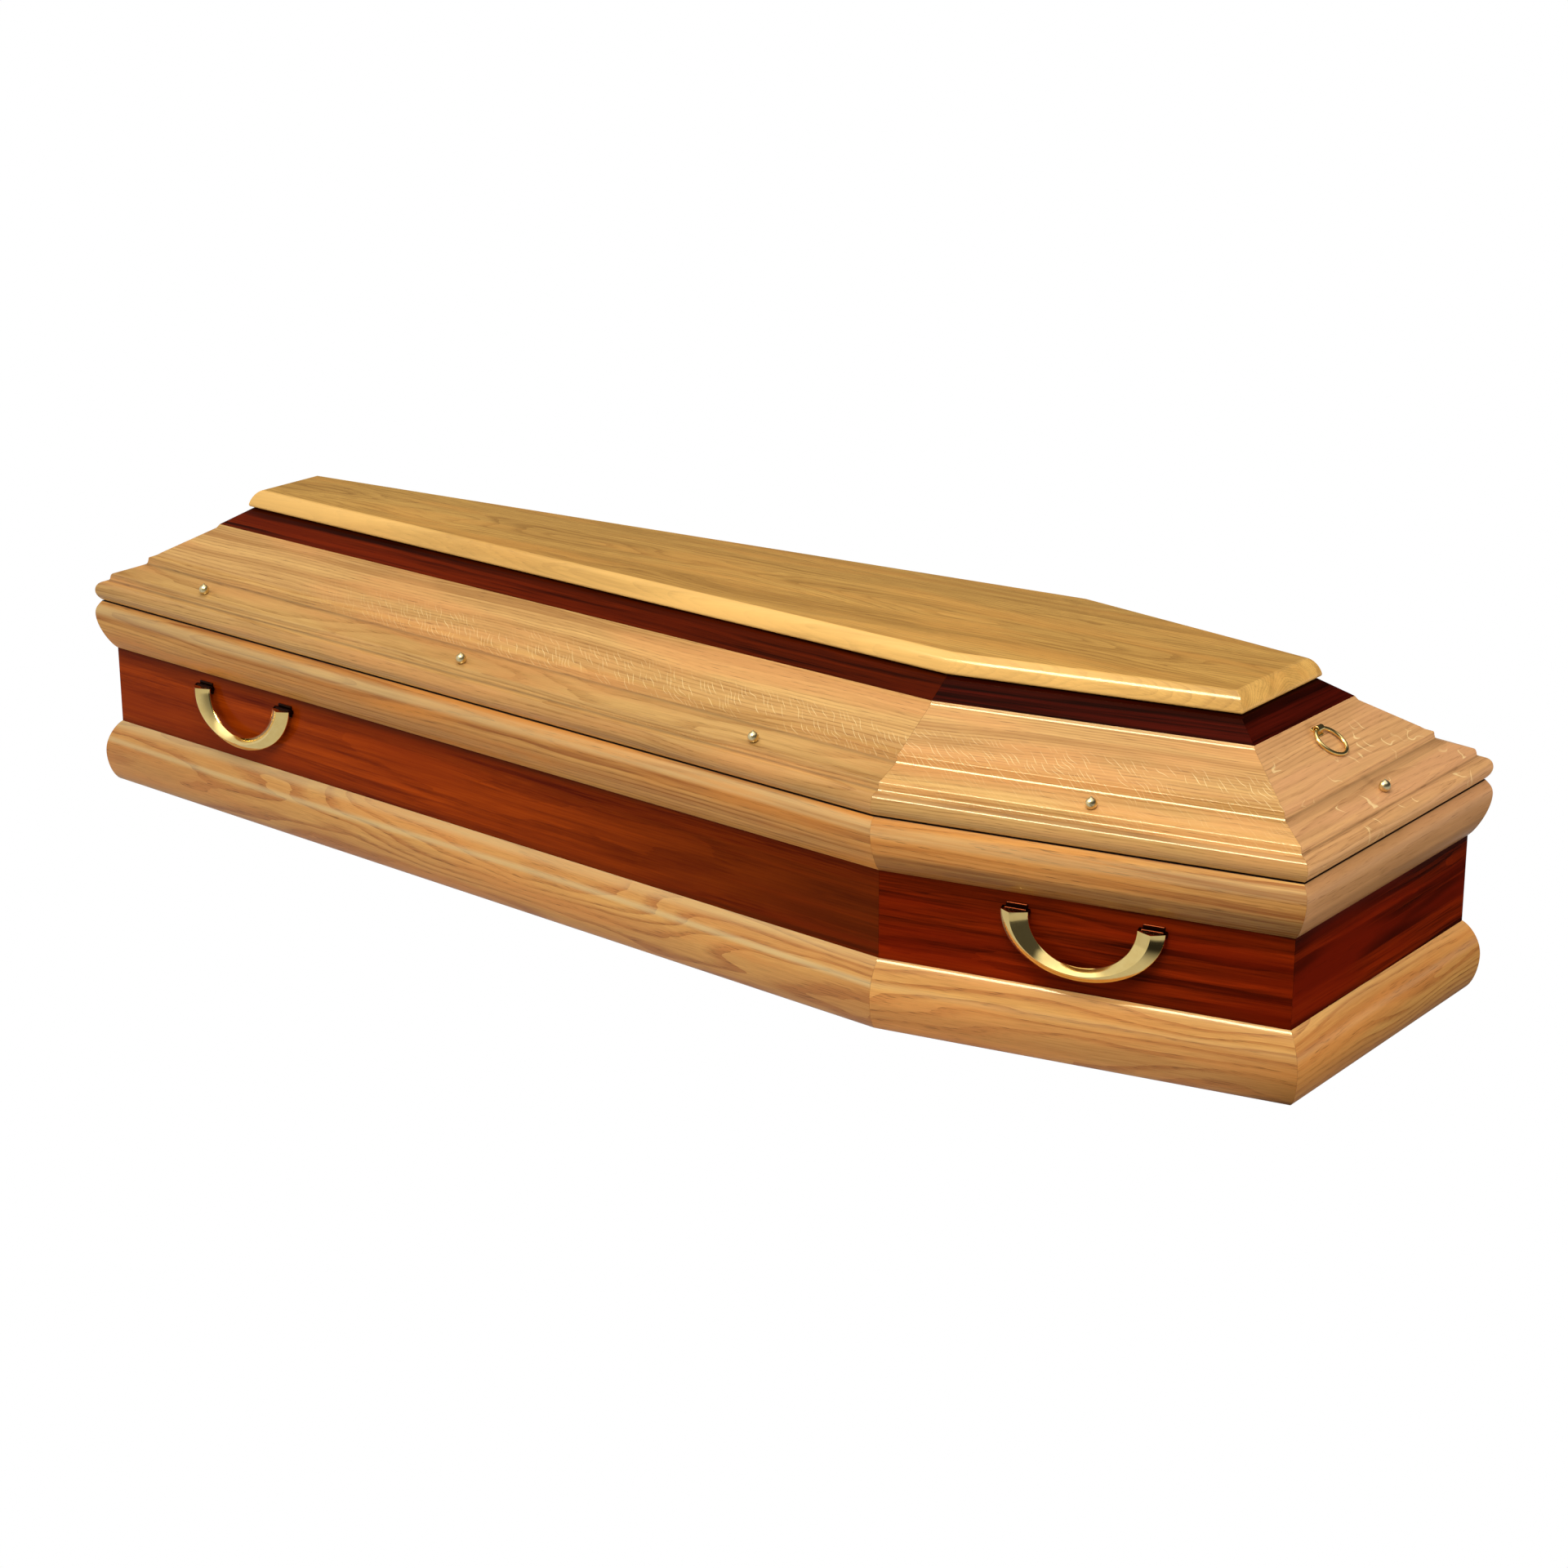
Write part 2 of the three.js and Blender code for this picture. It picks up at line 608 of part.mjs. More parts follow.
function knuckleOutline() {
  const plateTop = GAP + KNUCKLE_PLATE;
  const meet = Math.asin((AXIS_HEIGHT - plateTop) / KNUCKLE_RADIUS);
  const reach = KNUCKLE_RADIUS * Math.cos(meet);
  const outline = new THREE.Shape();
  outline.moveTo(-KNUCKLE_FOOT, GAP);
  outline.lineTo(KNUCKLE_FOOT, GAP);
  outline.lineTo(KNUCKLE_FOOT, plateTop);
  outline.lineTo(reach, plateTop);
  outline.absarc(0, AXIS_HEIGHT, KNUCKLE_RADIUS, -meet, Math.PI + meet, false);
  outline.lineTo(-KNUCKLE_FOOT, plateTop);
  outline.closePath();
  const bore = new THREE.Path();
  bore.absarc(0, AXIS_HEIGHT, BORE_RADIUS, 0, 2 * Math.PI, false);
  outline.holes.push(bore);
  return outline;
}

function ringGeometry() {
  const geometry = new THREE.TorusGeometry(RING_RADIUS, RING_WIRE, 8, 2 * ROUND_SIDES);
  geometry.translate(0, -RING_REACH, 0);
  geometry.rotateX(RING_DIP);
  geometry.translate(0, 0, AXIS_HEIGHT);
  return geometry;
}

const slope = slopeFrame();
const knuckle = wallPrism(knuckleOutline(), -KNUCKLE_WIDTH / 2, KNUCKLE_WIDTH);
addMesh('lid_ring_knuckle', knuckle, BRASS, slope);
addMesh('lid_ring', ringGeometry(), BRASS, slope);

export default coffin;
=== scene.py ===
"""A shouldered oak coffin with stained bands and brass fittings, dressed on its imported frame.

Metres, +Z up, the origin on the floor under the middle of the coffin, +X towards the head end.
Every wooden section is a list of (d, z): d is the distance out from the face of the walls.
"""

import math
from functools import partial
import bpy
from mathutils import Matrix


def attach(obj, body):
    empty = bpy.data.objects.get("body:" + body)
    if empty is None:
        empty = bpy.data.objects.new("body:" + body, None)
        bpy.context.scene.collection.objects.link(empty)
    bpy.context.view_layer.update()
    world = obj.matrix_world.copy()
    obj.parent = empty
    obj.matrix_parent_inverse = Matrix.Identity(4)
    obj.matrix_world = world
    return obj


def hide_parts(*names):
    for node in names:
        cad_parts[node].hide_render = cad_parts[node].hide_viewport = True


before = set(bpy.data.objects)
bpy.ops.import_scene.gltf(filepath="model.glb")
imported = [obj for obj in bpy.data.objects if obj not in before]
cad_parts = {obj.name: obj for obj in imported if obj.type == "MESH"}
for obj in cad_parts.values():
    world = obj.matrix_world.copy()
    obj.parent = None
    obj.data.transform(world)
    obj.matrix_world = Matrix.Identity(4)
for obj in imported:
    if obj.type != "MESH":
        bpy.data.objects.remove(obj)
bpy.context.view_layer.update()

from types import SimpleNamespace

import bpy
import numpy as np
from bpy.props import FloatProperty, FloatVectorProperty, PointerProperty
from mathutils import Euler, Matrix, Vector

bl_info = {
    "name": "Oak Coffin",
    "version": (1, 0, 0),
    "blender": (4, 5, 0),
    "location": "View3D > Sidebar > Coffin",
    "description": "Builds the boards, mouldings, fittings and studio of a shouldered oak coffin",
    "category": "Object",
}

MM = 0.001
SIDES = ("left_long", "left_short", "head_end", "right_short", "right_long", "foot_end")
LONG_SIDES, SHORT_SIDES, HEAD_END, FOOT_END = (0, 4), (1, 3), 2, 5

# For each side of each kind of board, how far the heart of its tree lies out from the walls' face
# and up from the floor
HEARTS = {
    "wall": [(-0.35, 0.15), (-0.5, 0.1), (-0.3, 0.2), (-0.5, 0.1), (-0.35, 0.15), (-0.3, 0.2)],
    "base_moulding": [(-0.05, 0.03), (-0.07, 0.06), (-0.03, 0.05), (-0.06, 0.02), (-0.05, 0.05),
                      (-0.04, 0.04)],
    "cornice_moulding": [(-0.25, 0.2), (-0.3, 0.2), (-0.2, 0.3), (-0.3, 0.2), (-0.25, 0.2),
                         (-0.2, 0.3)],
    "lid_board": [(-0.06, 0.16), (-0.02, 0.18), (-0.1, 0.2), (-0.03, 0.17), (-0.06, 0.15),
                  (-0.1, 0.2)],
    "lid_dark_band": [(-0.5, 0.2)] * 6,
}

# Points of the lid's outline: in a crease's deepest part, at its ends, on the shelf, on the nose
CREASE_MIDDLE = [34, 35, 36, 37, *range(60, 66)]
CREASE_ENDS = [32, 33, 38, 39, 43, 58, 59, 66, 67]
SHELF = slice(44, 58)
NOSE = slice(8, 31)


# Colours and settings

def linear(hex_colour):
    """Turns an sRGB hex colour to linear: each part is divided by 12.92 where dark, else raised to 2.4."""
    parts = [int(hex_colour[i:i + 2], 16) / 255 for i in (1, 3, 5)]
    return [c / 12.92 if c <= 0.04045 else ((c + 0.055) / 1.055) ** 2.4 for c in parts]


def size(name, text, default):
    """A length in metres."""
    return FloatProperty(name=name, description=text, default=default, precision=4, unit="LENGTH")


def degrees(name, text, default):
    """An angle, given in degrees and kept in radians."""
    return FloatProperty(name=name, description=text, default=math.radians(default), unit="ROTATION")


def amount(name, text, default):
    """A plain number, such as a light's watts."""
    return FloatProperty(name=name, description=text, default=default)


def tint(name, text, hex_colour):
    """A colour, given in sRGB hex and kept linear."""
    return FloatVectorProperty(
        name=name, description=text, default=linear(hex_colour), min=0, max=1, subtype="COLOR"
    )


class CoffinPlan(bpy.types.PropertyGroup):
    length: size("Length", "Foot end to head end, over the walls", 2.0)
    head_width: size("Head width", "Width of the head end over the walls", 0.448)
    shoulder_width: size("Shoulder width", "Widest place over the walls", 0.647)
    foot_width: size("Foot width", "Width of the foot end over the walls", 0.424)
    shoulder_from_head: size("Shoulder", "Head end to the shoulder, along the middle", 0.52)
    gap: size("Mitre gap", "Hairline that neighbouring boards keep", 0.0003)


class CoffinBox(bpy.types.PropertyGroup):
    wall: size("Wall", "Thickness of the wall boards", 0.022)
    floor: size("Floor", "Thickness of the bottom board", 0.020)
    base_height: size("Base height", "Height of the base moulding", 0.091)
    base_foot: size("Base foot", "How far the base moulding stands out at the floor", 0.0095)
    base_swell: size("Base swell", "How far the base moulding stands out at its fullest", 0.0203)
    base_swell_height: size("Base swell height", "Height of its fullest place", 0.043)
    panel_height: size("Panel height", "Stained panel between the mouldings", 0.115)
    cornice_height: size("Cornice height", "Height of the moulding under the lid", 0.075)
    cornice_swell: size("Cornice swell", "How far the cornice stands out at its fullest", 0.0218)
    cornice_swell_height: size("Cornice swell height", "Its fullest place over its foot", 0.054)
    cornice_top: size("Cornice top", "How far the cornice stands out under the lid", 0.0135)
    slit: size("Parting slit", "Dark line between box and lid", 0.0014)


class CoffinLid(bpy.types.PropertyGroup):
    nose_swell: size("Nose swell", "How far the lid's rim stands out", 0.0205)
    nose_height: size("Nose height", "Height of the rim", 0.0285)
    nose_swell_height: size("Nose swell height", "Fullest place of the rim over its foot", 0.014)
    nose_shoulder: size("Nose shoulder", "How far out the rim ends at its top", 0.0044)
    round_width: size("Round width", "Width of the small round over the rim", 0.0079)
    round_height: size("Round height", "Height of the small round", 0.0118)
    shelf_width: size("Shelf width", "Sloping shelf that carries the screws", 0.034)
    shelf_height: size("Shelf height", "Rise of the shelf", 0.0126)
    step_width: size("Step width", "Width of the step over the shelf", 0.0072)
    step_height: size("Step height", "Height of the step", 0.0113)
    slope_width: size("Slope width", "Width of the long slope", 0.0698)
    slope_height: size("Slope height", "Rise of the long slope", 0.041)
    bevel_width: size("Bevel width", "Width of the bevel under the stained band", 0.0039)
    bevel_height: size("Bevel height", "Rise of the bevel", 0.0054)
    board: size("Lid board", "Thickness of the lid's boards", 0.020)
    band_width: size("Band width", "Width of the stained band", 0.040)
    band_height: size("Band height", "Rise of the stained band", 0.0253)
    top_board: size("Top board", "Thickness of the top board", 0.025)
    top_overhang: size("Top overhang", "How far the top board stands over the band", 0.0075)
    top_round: size("Top round", "Width of the round along the top board's edge", 0.0115)


class CoffinFittings(bpy.types.PropertyGroup):
    handle_from_foot: size("Foot handle", "Foot corner to the middle of a foot handle", 0.294)
    from_shoulder: size("Head fittings", "Shoulder to the head handle and screw", 0.270)
    handle_width: size("Handle width", "Width over the two legs", 0.210)
    handle_drop: size("Handle drop", "Top of the legs to the lowest place of the bow", 0.074)
    leg_width: size("Leg width", "Width of a leg at its top", 0.0356)
    bow_width: size("Bow width", "Width of the bow at its lowest place", 0.017)
    edge: size("Handle edge", "Flat back edge of the bow", 0.002)
    ridge: size("Handle ridge", "Height of the front ridge over the edges", 0.010)
    lean: size("Handle lean", "How far the bow leans out as it drops", 0.0075)
    pivot_off_wall: size("Pivot distance", "Wall to the pin's middle", 0.0046)
    pivot_from_top: size("Pivot below panel top", "Cornice foot to the pin's middle", 0.020)
    above_pivot: size("Leg above pivot", "Top of the legs over the pin's middle", 0.0015)
    pin_radius: size("Pin radius", "Radius of the hinge pin", 0.0019)
    pin_clearance: size("Pin clearance", "Play round the pin in its bore", 0.0004)
    eye_radius: size("Eye radius", "Radius of the ears and the barrel", 0.0038)
    ear: size("Ear", "Width of one ear", 0.0034)
    ear_clearance: size("Ear clearance", "Play beside the barrel", 0.0004)
    lug_plate: size("Lug plate", "Thickness of the lug's plate", 0.0018)
    lug_below: size("Lug below pivot", "Plate below the pin's middle", 0.009)
    lug_above: size("Lug above pivot", "Plate above the pin's middle", 0.0075)
    screw_from_foot: size("Foot screw", "Foot corner to the first lid screw", 0.202)
    screw_from_shoulder: size("Shoulder screw", "Shoulder to the last long-side screw", 0.213)
    screw_on_shelf: size("Screw on shelf", "Shelf's edge to the screw's middle", 0.0049)
    screw_radius: size("Screw radius", "Radius of the ball head", 0.0073)
    screw_middle: size("Screw middle", "Shelf to the middle of the ball", 0.0063)
    screw_tip_radius: size("Screw tip radius", "Radius of the tip", 0.0013)
    screw_tip: size("Screw tip", "Height of the tip", 0.0016)
    ring_radius: size("Ring radius", "Radius to the middle of the ring's wire", 0.0218)
    ring_wire: size("Ring wire", "Radius of the wire", 0.0025)
    ring_up_slope: size("Ring pivot", "Foot of the slope to the ring's pivot", 0.0675)
    knuckle_width: size("Knuckle width", "Width of the knuckle", 0.013)
    knuckle_radius: size("Knuckle radius", "Radius of the knuckle's barrel", 0.005)
    knuckle_foot: size("Knuckle foot", "Half length of the knuckle's plate", 0.0075)
    knuckle_plate: size("Knuckle plate", "Thickness of the knuckle's plate", 0.0016)
    ring_clearance: size("Ring clearance", "Play of the ring in its knuckle", 0.00035)


# Each timber's own name, then its light, dark and warm colour
TIMBERS = {
    "top": ("Top board", "#dcaa58", "#a67838", "#d99a4a"),
    "lid": ("Lid oak", "#e0b068", "#ad7a3e", "#dc9a58"),
    "end": ("End oak", "#d8a46a", "#b07f50", "#cf9566"),
    "cornice": ("Cornice oak", "#dba256", "#a2602a", "#d88c3e"),
    "base": ("Base oak", "#e1aa5c", "#b6753a", "#da9048"),
    "long": ("Long stained panel", "#b04408", "#5e1601", "#8f3004"),
    "short": ("Head stained panel", "#9c2d06", "#340801", "#761803"),
    "band": ("Long stained band", "#7c2606", "#2c0801", "#681c04"),
    "cap": ("Head stained band", "#4e1006", "#170301", "#3e0a03"),
}
GROWTH = {"light": "Pale growth", "dark": "Dark growth", "warm": "Warm patches"}


class CoffinFinishes(bpy.types.PropertyGroup):
    pore: tint("Oak pores", "Open pores under the lacquer", "#6d4321")
    ray: tint("Oak rays", "Silvery rays that cross the grain", "#f6dc9c")
    # Painted sheen: greyish pale streaks standing for soft reflections in the mouldings' lacquer
    painted_sheen: tint("Painted sheen", "Greyish pale streaks in the mouldings", "#d8c48e")
    # Painted highlight along the top board's round edge
    edge: tint("Top board edge", "Highlight painted along the round edge", "#fcc670")
    # Painted shade: near-black mixed into the stained boards along the mouldings and under the top board
    painted_shade: tint("Painted shade", "Shade painted along the mouldings and under the top board", "#1c0500")
    brass: tint("Polished brass", "Handles and ring", "#f6dc94")
    brass_satin: tint("Satin brass", "Lid screws", "#e4d8ae")
    # Painted shade: brass darkened for the shade and dark reflections behind the handles
    bronze: tint("Dark bronze", "Lugs, ears and pins behind the handles", "#2a1008")


CoffinFinishes.__annotations__.update({
    f"{kind}_{part}": tint(f"{timber}, {part}", f"{text} of the {timber.lower()}", colour)
    for kind, (timber, *colours) in TIMBERS.items()
    for (part, text), colour in zip(GROWTH.items(), colours)
})


class CoffinStudio(bpy.types.PropertyGroup):
    camera: FloatVectorProperty(name="Camera", description="Camera place", unit="LENGTH",
                                subtype="TRANSLATION", default=(2.68508, -3.45099, 1.60463))
    yaw: degrees("Yaw", "Turn to the left of +Y", 36.9253)
    pitch: degrees("Pitch", "Tilt below the horizon", 18.6027)
    roll: degrees("Roll", "Turn about the line of sight", -0.0802)
    lens: amount("Lens", "Focal length in mm on a 36 mm sensor", 76.413)
    sky: amount("Sky", "Strength of the surroundings overhead", 0.5)
    horizon: amount("Horizon", "Strength of the surroundings at the sides", 0.1)
    key: amount("Key", "Watts of the large soft box by the camera", 98.0)
    strip: amount("Strip", "Watts of the strip that edges the head rounds", 170.0)
    strip_colour: tint("Strip colour", "Warm light of the strip", "#fff3c8")
    top_fill: amount("Top fill", "Watts of the soft box over the foot", 28.0)
    head_fill: amount("Head fill", "Watts of the soft box at the head end", 21.5)
    side: amount("Side", "Watts of the small soft box towards the foot", 7.0)
    foot_wall: amount("Foot wall", "White wall seen in metal", 0.75)
    ceiling: amount("Ceiling", "Bright ceiling seen in metal", 1.1)
    floor_glow: amount("Floor glow", "Brightness of the floor to the eye", 1.0)
    floor_mirrored: amount("Floor in metal", "Its brightness in reflections", 1.0)
    floor_colour: tint("Floor", "What the floor gives back to the coffin", "#cdcdcd")


# Meshes from whole arrays

def outward(verts, quads, caps):
    """Turns every face round if the shell's volume, summed over its triangles' corners, is negative."""
    tris = [quads[:, [0, 1, 2]], quads[:, [0, 2, 3]]]
    for cap in caps:
        fan = np.array(cap)
        tris.append(np.stack([np.full(len(fan) - 2, fan[0]), fan[1:-1], fan[2:]], axis=1))
    a, b, c = (verts[np.concatenate(tris)[:, k]] for k in range(3))
    if np.einsum("ij,ij->i", a, np.cross(b, c)).sum() < 0:
        return quads[:, ::-1], [cap[::-1] for cap in caps]
    return quads, caps


def loft(rings):
    """Closed rings of points, one after another: a quad between each pair of neighbours on two
    neighbouring rings, and a flat cap on the first and the last ring."""
    count, around, _ = rings.shape
    grid = np.arange(count * around).reshape(count, around)
    right = np.roll(grid, -1, axis=1)
    quads = np.stack([grid[:-1], right[:-1], right[1:], grid[1:]], axis=-1).reshape(-1, 4)
    verts = rings.reshape(-1, 3)
    caps = [grid[0, ::-1].tolist(), grid[-1].tolist()]
    quads, caps = outward(verts, quads, caps)
    return verts, quads, caps


def tube(rings):
    """Closed rings that also close on the first one, as on a torus: quads only."""
    count, around, _ = rings.shape
    grid = np.arange(count * around).reshape(count, around)
    right = np.roll(grid, -1, axis=1)
    quads = np.stack([grid, right, np.roll(right, -1, axis=0), np.roll(grid, -1, axis=0)], axis=-1)
    quads, caps = outward(rings.reshape(-1, 3), quads.reshape(-1, 4), [])
    return rings.reshape(-1, 3), quads, caps


def make_piece(name, shells, material, body, slot, nodes, sharp=28.0, **layers):
    """One mesh of one or more closed shells, smooth but for edges that turn more than `sharp`
    degrees, riding on a body and standing for its CAD nodes. A layer is a vector at each point."""
    verts, faces, offset = [], [], 0
    for points, quads, caps in shells:
        verts.append(points)
        faces.extend((quads + offset).tolist())
        faces.extend([[i + offset for i in cap] for cap in caps])
        offset += len(points)
    mesh = bpy.data.meshes.new(name)
    mesh.from_pydata(np.concatenate(verts).tolist(), [], faces)
    mesh.shade_smooth()
    mesh.set_sharp_from_angle(angle=math.radians(sharp))
    for key, vectors in layers.items():
        layer = mesh.attributes.new(key, "FLOAT_VECTOR", "POINT")
        layer.data.foreach_set("vector", np.ascontiguousarray(vectors, np.float32).ravel())
    mesh.materials.append(material)
    mesh.validate()
    mesh.update()
    piece = bpy.data.objects.new(name, mesh)
    bpy.context.scene.collection.objects.link(piece)
    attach(piece, body)
    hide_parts(*nodes)
    return piece


def bezier(p0, p1, p2, p3, steps):
    """Cubic curve from p0 to p3: the four points weighted by the terms of (1 - t + t) cubed."""
    t = np.linspace(0, 1, steps + 1)[:, None]
    ends = np.outer((1 - t[:, 0]) ** 3, p0) + np.outer(t[:, 0] ** 3, p3)
    return ends + 3 * t * (1 - t) ** 2 * np.array(p1) + 3 * t ** 2 * (1 - t) * np.array(p2)


def line(p0, p1, steps):
    """Evenly spaced points from p0 to p1."""
    t = np.linspace(0, 1, steps + 1)[:, None]
    return (1 - t) * np.array(p0) + t * np.array(p1)


def outline(*parts):
    """Joins curves end to end into one closed outline, without a point that repeats the last."""
    points = np.concatenate([np.atleast_2d(part) for part in parts])
    step = np.linalg.norm(points - np.roll(points, 1, axis=0), axis=1)
    return points[step > 1e-6]


# Plan of the coffin

def plan_sides(plan):
    """Start corner, unit vector along, unit normal outwards and length of each of the six sides,
    counterclockwise from above; a side runs from its corner to the next one."""
    half = plan.length / 2
    shoulder = half - plan.shoulder_from_head
    start = np.array([
        (-half, -plan.foot_width / 2),
        (shoulder, -plan.shoulder_width / 2),
        (half, -plan.head_width / 2),
        (half, plan.head_width / 2),
        (shoulder, plan.shoulder_width / 2),
        (-half, plan.foot_width / 2),
    ])
    reach = np.roll(start, -1, axis=0) - start
    length = np.linalg.norm(reach, axis=1)
    along = reach / length[:, None]
    return start, along, np.stack([along[:, 1], -along[:, 0]], axis=1), length


def corner_out(plan, corner, d):
    """A corner moved out by each distance in d: along the bisector of the two sides' normals, by
    d over the cosine of half their turn, so both sides move out by d."""
    start, _, out, _ = plan_sides(plan)
    bisector = out[corner % 6] + out[(corner - 1) % 6]
    bisector /= np.linalg.norm(bisector)
    return start[corner % 6] + np.outer(d / (bisector @ out[corner % 6]), bisector)


def on_wall(plan, side, distance, points):
    """Points given as (along the wall, out of it, up) from a place on a side, put into the frame."""
    start, along, out, _ = plan_sides(plan)
    s, d, z = np.moveaxis(points, -1, 0)
    xy = start[side] + (distance + s)[..., None] * along[side] + d[..., None] * out[side]
    return np.concatenate([xy, z[..., None]], axis=-1)


# Wooden sections

def wall_section(box):
    """A plain upright board behind the face of the walls."""
    top = box.base_height + box.panel_height + box.cornice_height
    return outline(
        line((-box.wall, 0), (0, 0), 4),
        line((0, 0), (0, top), 8),
        line((0, top), (-box.wall, top), 4),
        line((-box.wall, top), (-box.wall, 0), 8)[:-1],
    )


def base_section(box, gap):
    """A full belly: one curve from the foot out to the swell, a longer one up and in to the wall."""
    low = box.base_swell_height
    high = box.base_height - low
    foot, swell = box.base_foot, box.base_swell
    chamfer = 1.6 * MM
    return outline(
        line((gap, 0), (foot - chamfer, 0), 2),
        bezier((foot, chamfer), (foot + (swell - foot) * 0.65, low * 0.23), (swell, low * 0.65),
               (swell, low), 18),
        bezier((swell, low), (swell, low + high * 0.48), (swell * 0.34, low + high * 0.91),
               (gap, box.base_height), 22),
        line((gap, box.base_height), (gap, 0), 6)[:-1],
    )


def cornice_section(box, gap):
    """A hollow foot that swells out and turns in under the lid, as two curves."""
    foot = box.base_height + box.panel_height
    top = foot + box.cornice_height - box.slit
    swell = foot + box.cornice_swell_height
    out, rim = box.cornice_swell, box.cornice_top
    return outline(
        bezier((gap, foot), (out * 0.39, foot + box.cornice_swell_height * 0.13),
               (out, foot + box.cornice_swell_height * 0.63), (out, swell), 22),
        bezier((out, swell), (out, swell + (top - swell) * 0.49),
               (rim + (out - rim) * 0.48, swell + (top - swell) * 0.73), (rim, top), 14),
        line((rim, top), (gap, top), 2),
        line((gap, top), (gap, foot), 6)[:-1],
    )


def lid_points(box, lid, gap):
    """The corners of the lid's outline, each the last one plus its own width and height inwards."""
    bottom = box.base_height + box.panel_height + box.cornice_height + gap
    points = {"bottom": np.array((box.cornice_top, bottom))}
    points["nose"] = np.array((lid.nose_shoulder, bottom + lid.nose_height))
    points["shelf"] = points["nose"] + (-lid.round_width, lid.round_height)
    points["step"] = points["shelf"] + (-lid.shelf_width, lid.shelf_height)
    points["slope"] = points["step"] + (-lid.step_width, lid.step_height)
    points["slope_top"] = points["slope"] + (-lid.slope_width, lid.slope_height)
    points["band"] = points["slope_top"] + (-lid.bevel_width, lid.bevel_height)
    points["band_top"] = points["band"] + (-lid.band_width, lid.band_height)
    return points


def band_axes(lid):
    """Unit vectors up the stained band and square to it, into the lid."""
    up = np.array((-lid.band_width, lid.band_height))
    up /= np.linalg.norm(up)
    return up, np.array((-up[1], up[0]))


def lid_section(box, lid, gap):
    """Outside: a swelling rim, a small round, the sloping shelf, a stepped round, the long slope
    and its bevel, with a small cove at the foot of both rounds. Inside: the same slopes, one
    board's thickness in."""
    at = lid_points(box, lid, gap)
    bottom, nose, shelf, step, slope = (at[k] for k in ("bottom", "nose", "shelf", "step", "slope"))
    swell = bottom[1] + lid.nose_swell_height
    out, rim = lid.nose_swell, lid.nose_shoulder
    rise = nose[1] - swell
    _, into_band = band_axes(lid)
    slope_length = math.hypot(lid.slope_width, lid.slope_height)
    inner = slope + np.array((-lid.slope_height, -lid.slope_width)) / slope_length * lid.board
    under_band = at["band"] + into_band * lid.board
    foot = np.array((-box.wall, bottom[1]))
    eaves = np.array((-box.wall, shelf[1] - lid.board))

    def about(corner, width, height, *shares):
        """Points given as shares of a width inwards and of a height upwards from a corner."""
        return [corner + (-width * x, height * y) for x, y in shares]

    return outline(
        line(foot, bottom, 4),
        bezier(bottom, (bottom[0] + (out - bottom[0]) * 0.57, bottom[1] + (swell - bottom[1]) * 0.25),
               (out, bottom[1] + (swell - bottom[1]) * 0.63), (out, swell), 12),
        bezier((out, swell), (out, swell + rise * 0.5), (out - (out - rim) * 0.24, swell + rise * 0.92),
               nose + (0.0035, -0.0003), 16),
        bezier(*about(nose, MM, MM, (-1.4, 0.2), (-0.6, 0.8), (0.2, 1.8), (0.8, 2.8)), 6),
        bezier(*about(nose, MM, MM, (0.9, 3.4), (1.0, 3.8), (1.2, 4.6)),
               nose + (-lid.round_width * 0.17, lid.round_height * 0.5), 3),
        bezier(*about(nose, lid.round_width, lid.round_height, (0.22, 0.62), (0.32, 0.9),
                      (0.55, 0.97)), shelf, 10),
        line(shelf, step, 6),
        bezier(*about(step, MM, MM, (-1.2, -0.4), (-0.6, 0.2), (0.2, 1.1), (0.6, 1.7)), 6),
        bezier(*about(step, MM, MM, (0.7, 2.2), (0.8, 2.8), (1.0, 3.6)),
               step + (-lid.step_width * 0.2, lid.step_height * 0.45), 3),
        bezier(*about(step, lid.step_width, lid.step_height, (0.25, 0.72), (0.3, 0.88), (0.42, 0.9),
                      (0.62, 0.93)), 8),
        bezier(step + (-lid.step_width * 1.2, lid.step_height * 1.08),
               *about(slope, MM, MM, (4.0, 1.7), (5.5, 2.8), (8.5, 5.0)), 6),
        line(slope + (at["slope_top"] - slope) * 0.15, at["slope_top"], 12),
        line(at["slope_top"], at["band"], 2),
        line(at["band"], under_band, 3),
        line(under_band, inner, 8),
        line(inner, eaves, 6),
        line(eaves, foot, 3)[:-1],
    )


def band_section(box, lid, gap):
    """A flat board along the band's slope, cut level at its top."""
    at = lid_points(box, lid, gap)
    up, into = band_axes(lid)
    start = at["band"] + up * gap
    inner = start + into * lid.board
    top = inner + up * (at["band_top"][1] - inner[1]) / up[1]
    return outline(
        line(start, at["band_top"], 8),
        line(at["band_top"], top, 3),
        line(top, inner, 6),
        line(inner, start, 3)[:-1],
    )


def top_edge(box, lid, gap):
    """The edge of the top board from its underside up: a small round, then a wide quarter round."""
    at = lid_points(box, lid, gap)
    edge = at["band_top"][0] + lid.top_overhang
    low = at["band_top"][1] + gap
    tall, wide = lid.top_board, lid.top_round
    return outline(
        bezier((edge - wide * 0.3, low), (edge - wide * 0.12, low), (edge, low + tall * 0.03),
               (edge, low + tall * 0.14), 8),
        bezier((edge, low + tall * 0.14), (edge - wide * 0.1, low + tall * 0.36),
               (edge - wide * 0.6, low + tall * 0.92), (edge - wide * 1.55, low + tall), 22),
    )


# Boards

def window(x, low, high, soft):
    """One between low and high, zero outside, with eased edges `soft` wide."""
    up = np.clip((x - low) / soft + 0.5, 0, 1)
    down = np.clip((high - x) / soft + 0.5, 0, 1)
    return up * up * (3 - 2 * up) * down * down * (3 - 2 * down)


def near_shoulder(side, at, reach, soft, elsewhere=0.0):
    """One on the part of a long side within `reach` of its length from the shoulder, zero past it,
    with an eased end. A left board runs up to the shoulder and a right one from it. Boards on the
    other sides get one value."""
    if side not in LONG_SIDES:
        return elsewhere
    return window(1 - at if side == LONG_SIDES[0] else at, -2.0, reach, soft)


